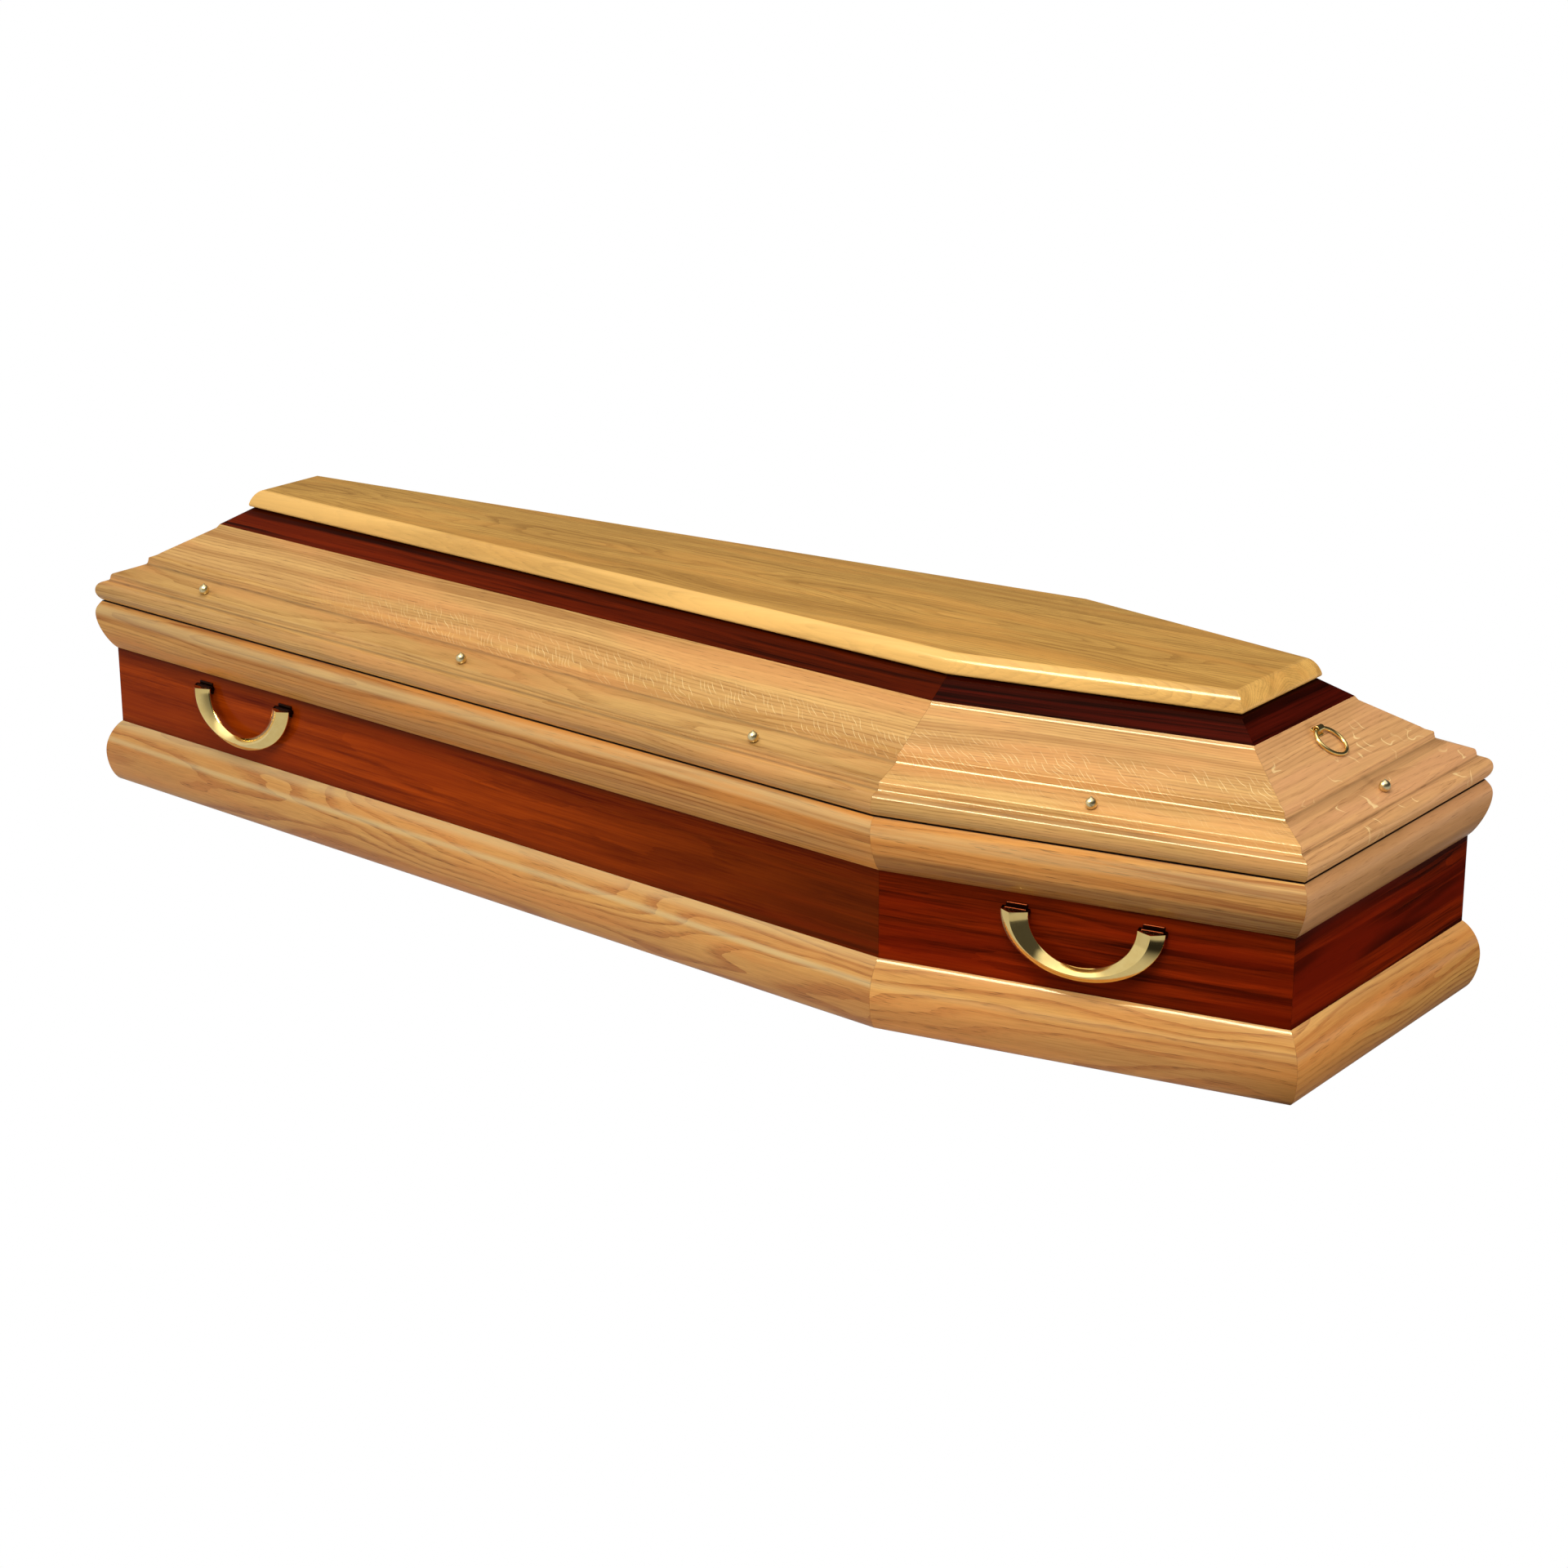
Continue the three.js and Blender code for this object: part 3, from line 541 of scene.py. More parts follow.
def board_shell(plan, side, section, stations):
    """The section carried from one mitre to the next in straight lines: each of its points runs
    between its place on the side's two bisectors, less half the hairline gap at both ends."""
    start, along, _, _ = plan_sides(plan)
    first = corner_out(plan, side, section[:, 0]) + along[side] * plan.gap / 2
    last = corner_out(plan, side + 1, section[:, 0]) - along[side] * plan.gap / 2
    v = np.linspace(0, 1, stations)[:, None, None]
    xy = (1 - v) * first + v * last
    z = np.broadcast_to(section[None, :, 1:], xy.shape[:2] + (1,))
    return loft(np.concatenate([xy, z], axis=2)), (xy - start[side]) @ along[side]


def add_boards(context, kind, section, materials, slot, marks, stations=24):
    """One mitred board on each of the six sides. `grain` is (along the board, out from the heart of
    the tree, up from it), so rings are circles about the heart; `lay` is (along, round the section,
    marks), where marks is worked out from the side, the share of its length, along and round. Each
    board is cut from a place of its own along its log."""
    plan = context.scene.coffin_plan
    lengths = plan_sides(plan)[3]
    step = np.linalg.norm(np.diff(section, axis=0, prepend=section[:1]), axis=1)
    for side, side_name in enumerate(SIDES):
        shell, s = board_shell(plan, side, section, stations)
        w = np.broadcast_to(np.cumsum(step), s.shape)
        log = s + (side + 7 * len(kind)) * 2.37 % 7
        heart = np.broadcast_to(section - HEARTS[kind][side], s.shape + (2,))
        make_piece(f"{slot}_{kind}_{side_name}", [shell], materials[side], "coffin", slot,
                   [f"{kind}_{side_name}"], grain=np.concatenate([log[..., None], heart], axis=-1),
                   lay=np.stack([log, w, marks(side, s / lengths[side], s, w)], axis=-1))


# Materials

# Settings of the nodes. A Mix of colours takes its share in socket 0 and its colours in 6 and 7, and
# gives its colour in output 2.
MULTIPLY, MULTIPLY_ADD, ADD, SUBTRACT, FLOOR, FRACTION, ABSOLUTE, LENGTH = (
    {"operation": name} for name in
    ("MULTIPLY", "MULTIPLY_ADD", "ADD", "SUBTRACT", "FLOOR", "FRACT", "ABSOLUTE", "LENGTH"))
EASED = {"interpolation_type": "SMOOTHSTEP"}
COLOURS = {"data_type": "RGBA"}
LINE = {"noise_dimensions": "1D"}
PLANE = {"noise_dimensions": "2D"}
BLACK, WHITE = (0.0, 0.0, 0.0, 1.0), (1.0, 1.0, 1.0, 1.0)
JOINT_SHADOW = (0.01, 0.004, 0.002, 1.0)


def fresh_tree(owner):
    """The empty node tree of a material or world."""
    owner.use_nodes = True
    owner.node_tree.nodes.clear()
    return owner.node_tree


def node(tree, kind, settings, sockets, output=0):
    """Adds a node: its settings are set by name, and each socket, by name or in order, gets a value
    or a link. Gives back one output, or all of them for None."""
    made = tree.nodes.new("ShaderNode" + kind)
    for key, value in settings.items():
        setattr(made, key, value)
    for key, value in sockets.items() if isinstance(sockets, dict) else enumerate(sockets):
        if isinstance(value, bpy.types.NodeSocket):
            tree.links.new(value, made.inputs[key])
        else:
            made.inputs[key].default_value = value
    return made.outputs if output is None else made.outputs[output]


def opaque(colour):
    """A colour with full alpha, as sockets want it."""
    return (colour[0], colour[1], colour[2], 1.0)


def cells(millimetres):
    """How many noise cells of a size in millimetres go to a metre, to a tenth."""
    return round(1000 / millimetres, 1)


def lacquered_timber(name, colours, look):
    """Timber under clear lacquer. Rings are circles about the heart of the tree, wandering with
    slow noise, so a board cut near the heart shows arches and one cut square to them shows lines.
    Pores are short dashes along the grain, thickest in each ring's early wood, and the rays are
    thin bent strokes across the grain. Staves, where a board is glued up, each start afresh.
    Sizes in the look are in millimetres."""
    # The last colour is the oak rays' colour on the lid boards; on the other boards it is a painted shade,
    # sheen or highlight
    light, dark, warm, pore, ray = (opaque(colour) for colour in colours)
    material = bpy.data.materials.new(name)
    add = partial(node, fresh_tree(material))

    def cloudy(place, long, wide, detail, output=0):
        """Noise whose cells are so long along the board and so wide across it."""
        stretched = add("VectorMath", MULTIPLY, (place, (cells(long), cells(wide), cells(wide))))
        return add("TexNoise", {}, {"Vector": stretched, "Scale": 1.0, "Detail": detail}, output)

    def shifted(place, colour, factors):
        """A place moved by each part of a colour, less a half, times its factor."""
        centred = add("VectorMath", SUBTRACT, (colour, (0.5, 0.5, 0.5)))
        return add("VectorMath", MULTIPLY_ADD, (centred, factors, place))

    grain = add("Attribute", {"attribute_name": "grain"}, (), "Vector")
    lay = add("Attribute", {"attribute_name": "lay"}, (), "Vector")
    lengthwise, around, marks = add("SeparateXYZ", {}, (lay,), None)
    weights = []
    if look.stave:
        stave = add("Math", FLOOR, (add("Math", MULTIPLY_ADD, (around, 1000 / look.stave, 0.35)),))
        stave_tone, stave_turn = add("TexWhiteNoise", LINE, {"W": stave}, None)
        grain = shifted(grain, stave_turn, (3.0, 0.05, 0.06))
        weights.append((stave_tone, look.stave_weight))

    # Slow wander of the rings, some 10 mm over half a metre, and a finer one of 1 mm
    slow = cloudy(grain, look.wander_along, 111, 2.0, "Color")
    fine = cloudy(grain, 111, 16.67, 2.0, "Color")
    warped = shifted(grain, slow, (0.0, look.wander * MM, look.wander * MM))
    warped = shifted(warped, fine, (0.0, 2.2 * MM, 2.2 * MM))

    # Distance from the heart, in rings
    across = add("VectorMath", MULTIPLY, (warped, (0.0, 1.0, 1.0)))
    radius = add("VectorMath", LENGTH, (across,), "Value")
    rings = add("Math", MULTIPLY, (radius, 1000 / look.ring))
    early = add("MapRange", EASED, (add("Math", FRACTION, (rings,)), 0.0, 0.55, 1.0, 0.0))
    year = add("TexWhiteNoise", LINE, {"W": add("Math", FLOOR, (rings,))})
    bands = add("TexNoise", LINE, {"W": add("Math", MULTIPLY, (radius, cells(look.bands))),
                                   "Scale": 1.0, "Detail": 3.0})

    # Streaks of tone, fibres and pores. Real pores are some 0.3 mm wide and fibres finer still:
    # both are drawn as coarse as they need to be to show.
    streaks = cloudy(warped, 769, look.streaks, 3.0)
    fibres = cloudy(warped, 91, 1.923, 2.0)
    pores = add("MapRange", EASED, (cloudy(warped, 26.3, 0.8696, 1.0), 0.54, 0.7))
    pores = add("Math", MULTIPLY, (pores, add("Math", MULTIPLY_ADD, (early, 0.75, 0.25))))

    # Tone from all of these, then warmer patches some 300 mm long
    tone = add("Math", MULTIPLY_ADD, (bands, look.band_weight,
                                      0.5 - 0.5 * look.band_weight + look.lift))
    weights = [(streaks, look.streak_weight), (fibres, look.fibre_weight),
               (year, look.year_weight), *weights]
    for value, weight in weights:
        tone = add("Math", MULTIPLY_ADD, (add("Math", SUBTRACT, (value, 0.5)), weight, tone))
    tone = add("Math", {**MULTIPLY_ADD, "use_clamp": True}, (early, -look.ring_weight, tone))
    patches = add("MapRange", EASED, (cloudy(warped, 333, 41.67, 2.0), 0.42, 0.66))
    patches = add("Math", MULTIPLY, (patches, look.warm_weight))
    wood = add("Mix", COLOURS, {0: tone, 6: dark, 7: light}, 2)
    wood = add("Mix", COLOURS, {0: patches, 6: wood, 7: warm}, 2)
    wood = add("Mix", COLOURS, {0: add("Math", MULTIPLY, (pores, look.pores)), 6: wood, 7: pore}, 2)

    # Shadowed creases and faces of a joint, where the board's marks are below zero
    joint = add("MapRange", EASED, (marks, -0.8, -0.3, 1.0, 0.0))
    wood = add("Mix", COLOURS, {0: joint, 6: wood, 7: JOINT_SHADOW}, 2)

    # A soft streak of the last colour where the marks are above zero: painted shade on the stained boards,
    # a painted sheen on the mouldings, a painted highlight on the top board's edge
    if look.shade:
        broken = add("MapRange", EASED, (streaks, 0.3, 0.6, 0.45 * look.shade, look.shade))
        wood = add("Mix", COLOURS, {0: add("Math", MULTIPLY, (marks, broken)), 6: wood, 7: ray}, 2)

    # Or rays there: strokes across the grain, ray_gap apart, ray_long long, each bent and tapered
    if look.rays:
        flat = add("CombineXYZ", {}, (lengthwise, around))
        bend = add("TexNoise", PLANE, {"Vector": flat, "Scale": cells(38.46), "Detail": 1.0}, "Color")
        turned = add("Mapping", {"vector_type": "TEXTURE"}, {
            "Vector": shifted(flat, bend, (look.ray_bend * MM, look.ray_bend * MM, 0.0)),
            "Rotation": (0.0, 0.0, look.ray_turn),
            "Scale": (look.ray_long * MM, look.ray_gap * MM, 1.0)})
        place = add("SeparateXYZ", {}, (turned,), None)
        row = add("Math", FLOOR, (place[1],))
        row_start = add("Math", MULTIPLY, (add("TexWhiteNoise", LINE, {"W": row}), 9.0))
        run = add("Math", ADD, (place[0], row_start))
        stroke = add("CombineXYZ", {}, (row, add("Math", FLOOR, (run,))))
        chance = add("TexWhiteNoise", PLANE, {"Vector": stroke})
        chosen = add("MapRange", EASED, (chance, 1 - look.ray_share, 1.05 - look.ray_share))
        at = add("Math", SUBTRACT, (add("Math", FRACTION, (run,)), 0.5))
        square = add("Math", MULTIPLY, (at, at))
        taper = add("Math", MULTIPLY_ADD, (square, -4.0, 1.0))
        bow = add("Math", MULTIPLY_ADD, (square, look.ray_bow, 0.5 - 0.13 * look.ray_bow))
        off = add("Math", SUBTRACT, (add("Math", FRACTION, (place[1],)), bow))
        thick = look.ray_wide / look.ray_gap
        edge = add("Math", SUBTRACT, (add("Math", MULTIPLY, (taper, thick)),
                                      add("Math", ABSOLUTE, (off,))))
        strokes = add("MapRange", EASED, (edge, 0.0, 0.5 * thick))
        clouds = add("TexNoise", PLANE, {
            "Vector": add("VectorMath", MULTIPLY, (flat, (cells(166.7), cells(45.45), 0.0))),
            "Scale": 1.0, "Detail": 1.0})
        share = add("MapRange", EASED, (clouds, 0.26, 0.44))
        for factor in (chosen, strokes, marks, look.rays):
            share = add("Math", MULTIPLY, (share, factor))
        wood = add("Mix", COLOURS, {0: share, 6: wood, 7: ray}, 2)

    # Lacquer: nearly level, sunk a hair into the pores
    rough = add("MapRange", EASED, (fibres, 0.3, 0.7, look.rough - 0.03, look.rough + 0.05))
    bump = add("Bump", {}, {"Strength": look.bump, "Distance": 0.3 * MM,
                            "Height": add("Math", MULTIPLY_ADD, (pores, -1.0, fibres))})
    shader = add("BsdfPrincipled", {}, {
        "Base Color": wood,
        "Roughness": rough,
        "IOR": 1.5,
        "Specular IOR Level": look.specular,
        "Specular Tint": opaque(look.specular_tint),
        "Coat Weight": look.coat,
        "Coat Roughness": look.coat_rough,
        "Normal": bump,
    })
    add("OutputMaterial", {}, {"Surface": shader}, None)
    return material


# Sizes in millimetres: staves, how far the rings wander and over what length, the rings, bands and
# streaks of tone, and the rays
OAK_LOOK = dict(
    stave=0, wander=30, wander_along=625, ring=3.4, bands=18.18, streaks=38.46,
    band_weight=1.6, streak_weight=1.2, fibre_weight=0.8, ring_weight=0.35, year_weight=0.12,
    stave_weight=0.35, warm_weight=0.6, pores=0.55, shade=0.0, lift=0.0,
    rays=0.0, ray_turn=math.radians(-42), ray_long=34, ray_gap=5, ray_wide=0.4, ray_share=0.75,
    ray_bend=13, ray_bow=0.9,
    rough=0.4, specular=0.1, specular_tint=(1.0, 0.8, 0.5), bump=0.12, coat=0.4, coat_rough=0.13,
)
STAIN_LOOK = dict(
    OAK_LOOK, wander=16, ring=4.2, bands=9.09, streaks=11.11, band_weight=1.4, streak_weight=2.6,
    ring_weight=0.15, pores=0.35, shade=0.9,
    rough=0.07, specular=0.06, specular_tint=(1.0, 0.3, 0.1), bump=0.05, coat=0.0,
)


def oak(finishes, kind, mark="ray", name=None, **changes):
    """European oak, planed and moulded, under clear gloss lacquer: pale honey wood with brown pore
    dashes, arched growth rings and silvery rays, and a crisp shine along every round."""
    colours = [getattr(finishes, f"{kind}_{part}") for part in GROWTH]
    return lacquered_timber(name or f"lacquered_oak_{kind}",
                            [*colours, finishes.pore, getattr(finishes, mark)],
                            SimpleNamespace(**{**OAK_LOOK, **changes}))


def stained(finishes, kind, name=None, **changes):
    """Oak stained mahogany under gloss lacquer: straight red-brown streaks, nearly black in the
    pores, with warm mirror-like reflections."""
    light, dark, warm = (getattr(finishes, f"{kind}_{part}") for part in GROWTH)
    return lacquered_timber(name or f"mahogany_stain_{kind}",
                            [light, dark, warm, dark, finishes.painted_shade],
                            SimpleNamespace(**{**STAIN_LOOK, **changes}))


def cast_brass(name, colour, rough, spread, grit):
    """Cast brass, polished or satin: warm yellow metal whose shine is broken by faint buffing marks
    `grit` millimetres apart, coarser than real ones so that they show, with slightly duller, redder
    patches."""
    material = bpy.data.materials.new(name)
    add = partial(node, fresh_tree(material))
    place = add("TexCoord", {}, (), "Object")
    haze = add("TexNoise", {}, {"Vector": place, "Scale": cells(11.11), "Detail": 3.0})
    marks = add("TexNoise", {}, {"Vector": place, "Scale": 1000 / grit, "Detail": 2.0})
    redder = (colour[0] * 0.88, colour[1] * 0.8, colour[2] * 0.66)
    metal = add("Mix", COLOURS, {0: haze, 6: opaque(colour), 7: opaque(redder)}, 2)
    shader = add("BsdfPrincipled", {}, {
        "Base Color": metal,
        "Metallic": 1.0,
        "Roughness": add("MapRange", {}, (marks, 0.3, 0.7, rough, rough + spread)),
        "Normal": add("Bump", {}, {"Strength": 0.06, "Distance": 0.1 * MM, "Height": marks}),
    })
    add("OutputMaterial", {}, {"Surface": shader}, None)
    return material


# Fittings

def round_trip(centre, radius, start, end, steps):
    """Points of an arc about a centre, from one angle to another."""
    angle = np.linspace(start, end, steps + 1)
    return np.array(centre) + radius * np.stack([np.cos(angle), np.sin(angle)], axis=1)


def prism(section, low, high, chamfer):
    """A (distance off the wall, height) outline carried along the wall from low to high; at both
    ends it is drawn in by the chamfer towards its middle, which breaks the edge."""
    middle = section.mean(axis=0)
    spread = np.linalg.norm(section - middle, axis=1).mean()
    small = middle + (section - middle) * (1 - chamfer / spread)
    places = ((low, small), (low + chamfer, section), (high - chamfer, section), (high, small))
    return np.array([np.insert(ring, 0, x, axis=1) for x, ring in places])


def barrel(centre, outer, bore, low, high, chamfer):
    """A tube along the wall: its wall's cross-section, a chamfered box, goes once round the pin."""
    box = np.array([
        (low, bore), (low, outer - chamfer), (low + chamfer, outer),
        (high - chamfer, outer), (high, outer - chamfer), (high, bore),
    ])
    angle = np.linspace(0, 2 * np.pi, 40, endpoint=False)[:, None]
    off = centre[0] + box[:, 1] * np.cos(angle)
    up = centre[1] + box[:, 1] * np.sin(angle)
    return np.stack([np.broadcast_to(box[:, 0], off.shape), off, up], axis=-1)


def handle_rings(fit, pivot):
    """The bow, leg to leg: at each angle its section's points lie on half ellipses of their own.
    The front is two slightly full facets that meet in a crisp ridge, and the whole leans out as it
    drops. The ridge lies at one share of a leg's width and at another of the bow's."""
    leg_ridge, bow_ridge, fullness = 0.43, 0.6, 0.06
    back = fit.pivot_off_wall + fit.eye_radius + fit.ear_clearance
    share = np.concatenate([
        [0, 0, 0.01], np.linspace(0.05, 0.405, 9), [leg_ridge], np.linspace(0.455, 0.95, 11),
        [0.99, 1, 1],
    ])
    rise = np.where(share < leg_ridge, share / leg_ridge, (1 - share) / (1 - leg_ridge))
    off = fit.edge + fit.ridge * np.clip(rise + fullness * np.sin(np.pi * rise), 0, 1)
    off[[0, -1]] = 0
    off[[1, -2]] = fit.edge * 0.85
    a = fit.handle_width / 2 - share * fit.leg_width
    b = fit.handle_drop - np.interp(share, (0, leg_ridge, 1), (0, bow_ridge, 1)) * fit.bow_width
    angle = np.linspace(0, np.pi, 121)[:, None]
    drop = b * np.sin(angle)
    lean = fit.lean * drop / fit.handle_drop
    return np.stack([a * np.cos(angle), back + off + lean, pivot + fit.above_pivot - drop], axis=-1)


def ear_section(fit, pivot):
    """A hook round the pin that runs out into the back of the leg."""
    leg = fit.pivot_off_wall + fit.eye_radius + fit.ear_clearance + fit.edge * 0.75
    centre = (fit.pivot_off_wall, pivot)
    return outline(
        round_trip(centre, fit.eye_radius, -np.pi / 2, -3 * np.pi / 2, 16),
        (leg, pivot + fit.above_pivot * 0.9),
        (leg, pivot - fit.eye_radius),
    )


def ball_rings(fit, shelf_slope):
    """A ball turned on its axis with a small tip, its lower points moved up onto the shelf's slope:
    no point lies below the plane through the screw's foot."""
    from_foot, from_crown = 0.05, 0.32
    angle = np.linspace(from_foot - np.pi / 2, np.pi / 2 - from_crown, 28)
    crown = fit.screw_middle + fit.screw_radius
    tip = np.array([(1.5, -0.02), (1.05, 0.1), (1.0, 0.5), (0.9, 0.85), (0.55, 1.0)])
    r = np.append(fit.screw_radius * np.cos(angle), fit.screw_tip_radius * tip[:, 0])
    z = np.append(fit.screw_middle + fit.screw_radius * np.sin(angle),
                  crown + fit.screw_tip * tip[:, 1])
    turn = np.linspace(0, 2 * np.pi, 48, endpoint=False)
    x = r[:, None] * np.cos(turn)
    y = r[:, None] * np.sin(turn)
    up = np.maximum(np.broadcast_to(z[:, None], x.shape), -y * shelf_slope)
    return np.stack([x, y, up], axis=-1)


def rounded_plate(low, high, radius):
    """A rectangle with round corners, from its low to its high corner: four quarter rounds."""
    inner = np.array((low, high)) + ((radius,), (-radius,))
    corners = ((1, 0), (1, 1), (0, 1), (0, 0))
    return outline(*(
        round_trip((inner[i, 0], inner[j, 1]), radius, (k - 1) * np.pi / 2, k * np.pi / 2, 6)
        for k, (i, j) in enumerate(corners)))


def plate_rings(shape, thick, chamfer, flip):
    """A flat plate: its outline at the back, at the front less the chamfer, and drawn in on top."""
    middle = shape.mean(axis=0)
    reach = np.abs(shape - middle).max(axis=0)
    small = middle + (shape - middle) * (1 - chamfer / reach)
    layers = ((shape, 0.0), (shape, thick - chamfer), (small, thick))
    return np.array([np.insert(ring, flip, off, axis=1) for ring, off in layers])


def slope_frame(plan, lid, at, fit):
    """Takes (across the slope, down it, square to it) about the ring's pivot into the frame."""
    middle = plan_sides(plan)[3][HEAD_END] / 2
    tilt = math.atan2(lid.slope_height, lid.slope_width)
    down_slope = np.array((math.cos(tilt), -math.sin(tilt)))
    off_slope = np.array((math.sin(tilt), math.cos(tilt)))
    pivot = at["slope"] - fit.ring_up_slope * down_slope

    def place(points):
        x, down, high = np.moveaxis(points, -1, 0)
        section = pivot + down[..., None] * down_slope + high[..., None] * off_slope
        return on_wall(plan, HEAD_END, middle, np.concatenate([x[..., None], section], axis=-1))

    return place


# Operators, one for each piece or group of like pieces

class COFFIN_OT_bottom_board(bpy.types.Operator):
    """Lay the bottom board inside the walls"""

    bl_idname = "coffin.bottom_board"
    bl_label = "Bottom board"

    def execute(self, context):
        scene = context.scene
        plan, box = scene.coffin_plan, scene.coffin_box
        edge = np.array([-box.wall - plan.gap])
        rings = np.array([
            [[*corner_out(plan, corner, edge)[0], z] for corner in range(6)]
            for z in (0.0, box.floor)
        ])
        flat = rings.reshape(-1, 3)
        material = oak(scene.coffin_finishes, "base", name="sawn_oak_bottom", coat=0.0, rough=0.5)
        make_piece("oak_bottom_board", [loft(rings)], material, "coffin", "oak", ["bottom_board"],
                   grain=flat + (0.4, 0.03, 0.09), lay=flat * (1, 1, 0))
        return {"FINISHED"}


class COFFIN_OT_walls(bpy.types.Operator):
    """Stand the six stained wall boards"""

    bl_idname = "coffin.walls"
    bl_label = "Stained walls"

    def execute(self, context):
        scene = context.scene
        finishes, box = scene.coffin_finishes, scene.coffin_box
        long = stained(finishes, "long", streak_weight=2.0, band_weight=1.1, lift=-0.06)
        short = stained(finishes, "short", streaks=16.67, lift=0.1)
        end = stained(finishes, "short", "mahogany_stain_ends", streaks=16.67, lift=-0.34)
        low = box.wall + box.base_height
        high = low + box.panel_height

        def painted_shade(side, at, s, w):
            """Painted shade along both mouldings; a long panel is also painted darker towards the
            shoulder.
            """
            return np.maximum(1 - window(w, low + 0.009, high - 0.008, 0.014),
                              0.85 * near_shoulder(side, at, 0.3, 0.7))

        add_boards(context, "wall", wall_section(box), (long, short, end, short, long, end),
                   "dark_wood", painted_shade)
        return {"FINISHED"}


class COFFIN_OT_base_mouldings(bpy.types.Operator):
    """Run the swelling base moulding round the foot of the walls"""

    bl_idname = "coffin.base_mouldings"
    bl_label = "Base mouldings"

    def execute(self, context):
        scene = context.scene
        section = base_section(scene.coffin_box, scene.coffin_plan.gap)
        material = oak(scene.coffin_finishes, "base", "painted_sheen", shade=0.55, ring_weight=0.6,
                       pores=0.7, wander=40)

        def pale(side, at, s, w):
            """Two pale streaks of painted sheen over the belly, and on the short sides painted shade under
            it.
            """
            much = 1.0 if side in LONG_SIDES else 0.3
            dim = 0.42 if side in SHORT_SIDES else 0.0
            return (0.8 * much * window(w, 0.094, 0.112, 0.012)
                    - dim * window(w, 0.018, 0.054, 0.02)
                    + much * window(w + 0.003 * np.sin(5 * s + side), 0.071, 0.078, 0.006))

        add_boards(context, "base_moulding", section, [material] * 6, "oak", pale)
        return {"FINISHED"}


class COFFIN_OT_cornice_mouldings(bpy.types.Operator):
    """Run the ogee cornice round the top of the walls"""

    bl_idname = "coffin.cornice_mouldings"
    bl_label = "Cornice mouldings"

    def execute(self, context):
        scene = context.scene
        section = cornice_section(scene.coffin_box, scene.coffin_plan.gap)
        short = oak(scene.coffin_finishes, "cornice", "painted_sheen", bands=6.667, streaks=5.882,
                    wander=20, streak_weight=2.4, band_weight=1.2, pores=0.8, shade=0.3, coat=0.22)
        end = oak(scene.coffin_finishes, "end", "painted_sheen", "lacquered_oak_cornice_ends",
                  bands=8.333, streaks=7.143, wander=20, streak_weight=0.8, band_weight=0.6,
                  warm_weight=0.4, coat=0.22, lift=-0.5)
        long = oak(scene.coffin_finishes, "cornice", "painted_sheen", "lacquered_oak_cornice_long",
                   bands=8.333, streaks=9.09, wander=20, streak_weight=1.5, band_weight=1.0,
                   warm_weight=0.9, shade=0.4, coat=0.15, lift=0.12)
        rim_at = np.argmax(section[:, 1]) + 1
        rim = np.linalg.norm(np.diff(section[:rim_at], axis=0), axis=1).sum()
        dims = (0.36, 0.52, 0.46, 0.5, 0.36, 0.46)

        def pale(side, at, s, w):
            """A pale streak of painted sheen under the rim, painted shade in the hollow at the foot, and
            painted shade on the top face by the parting slit.
            """
            return (window(w + 0.003 * np.sin(4 * s + side), 0.058, 0.074, 0.008)
                    - dims[side] * window(w, -0.03, 0.036, 0.02) - (w > rim - 0.4 * MM))

        add_boards(context, "cornice_moulding", section, (long, short, end, short, long, end),
                   "oak", pale)
        return {"FINISHED"}


class COFFIN_OT_lid_boards(bpy.types.Operator):
    """Fit the six moulded boards of the lid"""

    bl_idname = "coffin.lid_boards"
    bl_label = "Lid boards"

    def execute(self, context):
        scene = context.scene
        box = scene.coffin_box
        section = lid_section(box, scene.coffin_lid, scene.coffin_plan.gap)
        sides = oak(scene.coffin_finishes, "lid", rays=0.7)
        ends = oak(scene.coffin_finishes, "end", rays=0.5, ray_long=24, ray_gap=20, ray_wide=2.4,
                   ray_bend=45, ray_share=0.26, ray_bow=2.6, ray_turn=math.radians(-70),
                   streaks=16.67, streak_weight=0.8, band_weight=0.8, coat=0.15)
        # Painted shade in the creases and on the nose; the long sides' shelf is painted darker too
        end_dark, short_dark = np.zeros((2, len(section)))
        end_dark[CREASE_ENDS] = 0.42
        end_dark[CREASE_MIDDLE] = 0.52
        short_dark[NOSE] = 0.42
        long_dark = end_dark.copy()
        long_dark[SHELF] = 0.42
        long_dark[NOSE] = 0.4
        dark = (long_dark, short_dark, end_dark, short_dark, long_dark, end_dark)
        underside = box.wall + box.cornice_top + 0.6 * MM

        def rays(side, at, s, w):
            """Rays on the slope, towards the shoulder on the long sides, none at the foot end. The
            underside and the board's dark points are shadowed instead."""
            slope = window(w, 0.126, 0.182, 0.022) + 0.3 * window(w, 0.06, 0.126, 0.02)
            rayed = slope * near_shoulder(side, at, 0.65, 0.3, elsewhere=1.0)
            if side in (HEAD_END, FOOT_END):
                rayed = (side == HEAD_END) * window(w, 0.045, 0.20, 0.03)
            return np.where(dark[side] > 0, -dark[side], rayed) - (w < underside)

        add_boards(context, "lid_board", section, (sides, sides, ends, sides, sides, ends), "oak",
                   rays, stations=40)
        return {"FINISHED"}


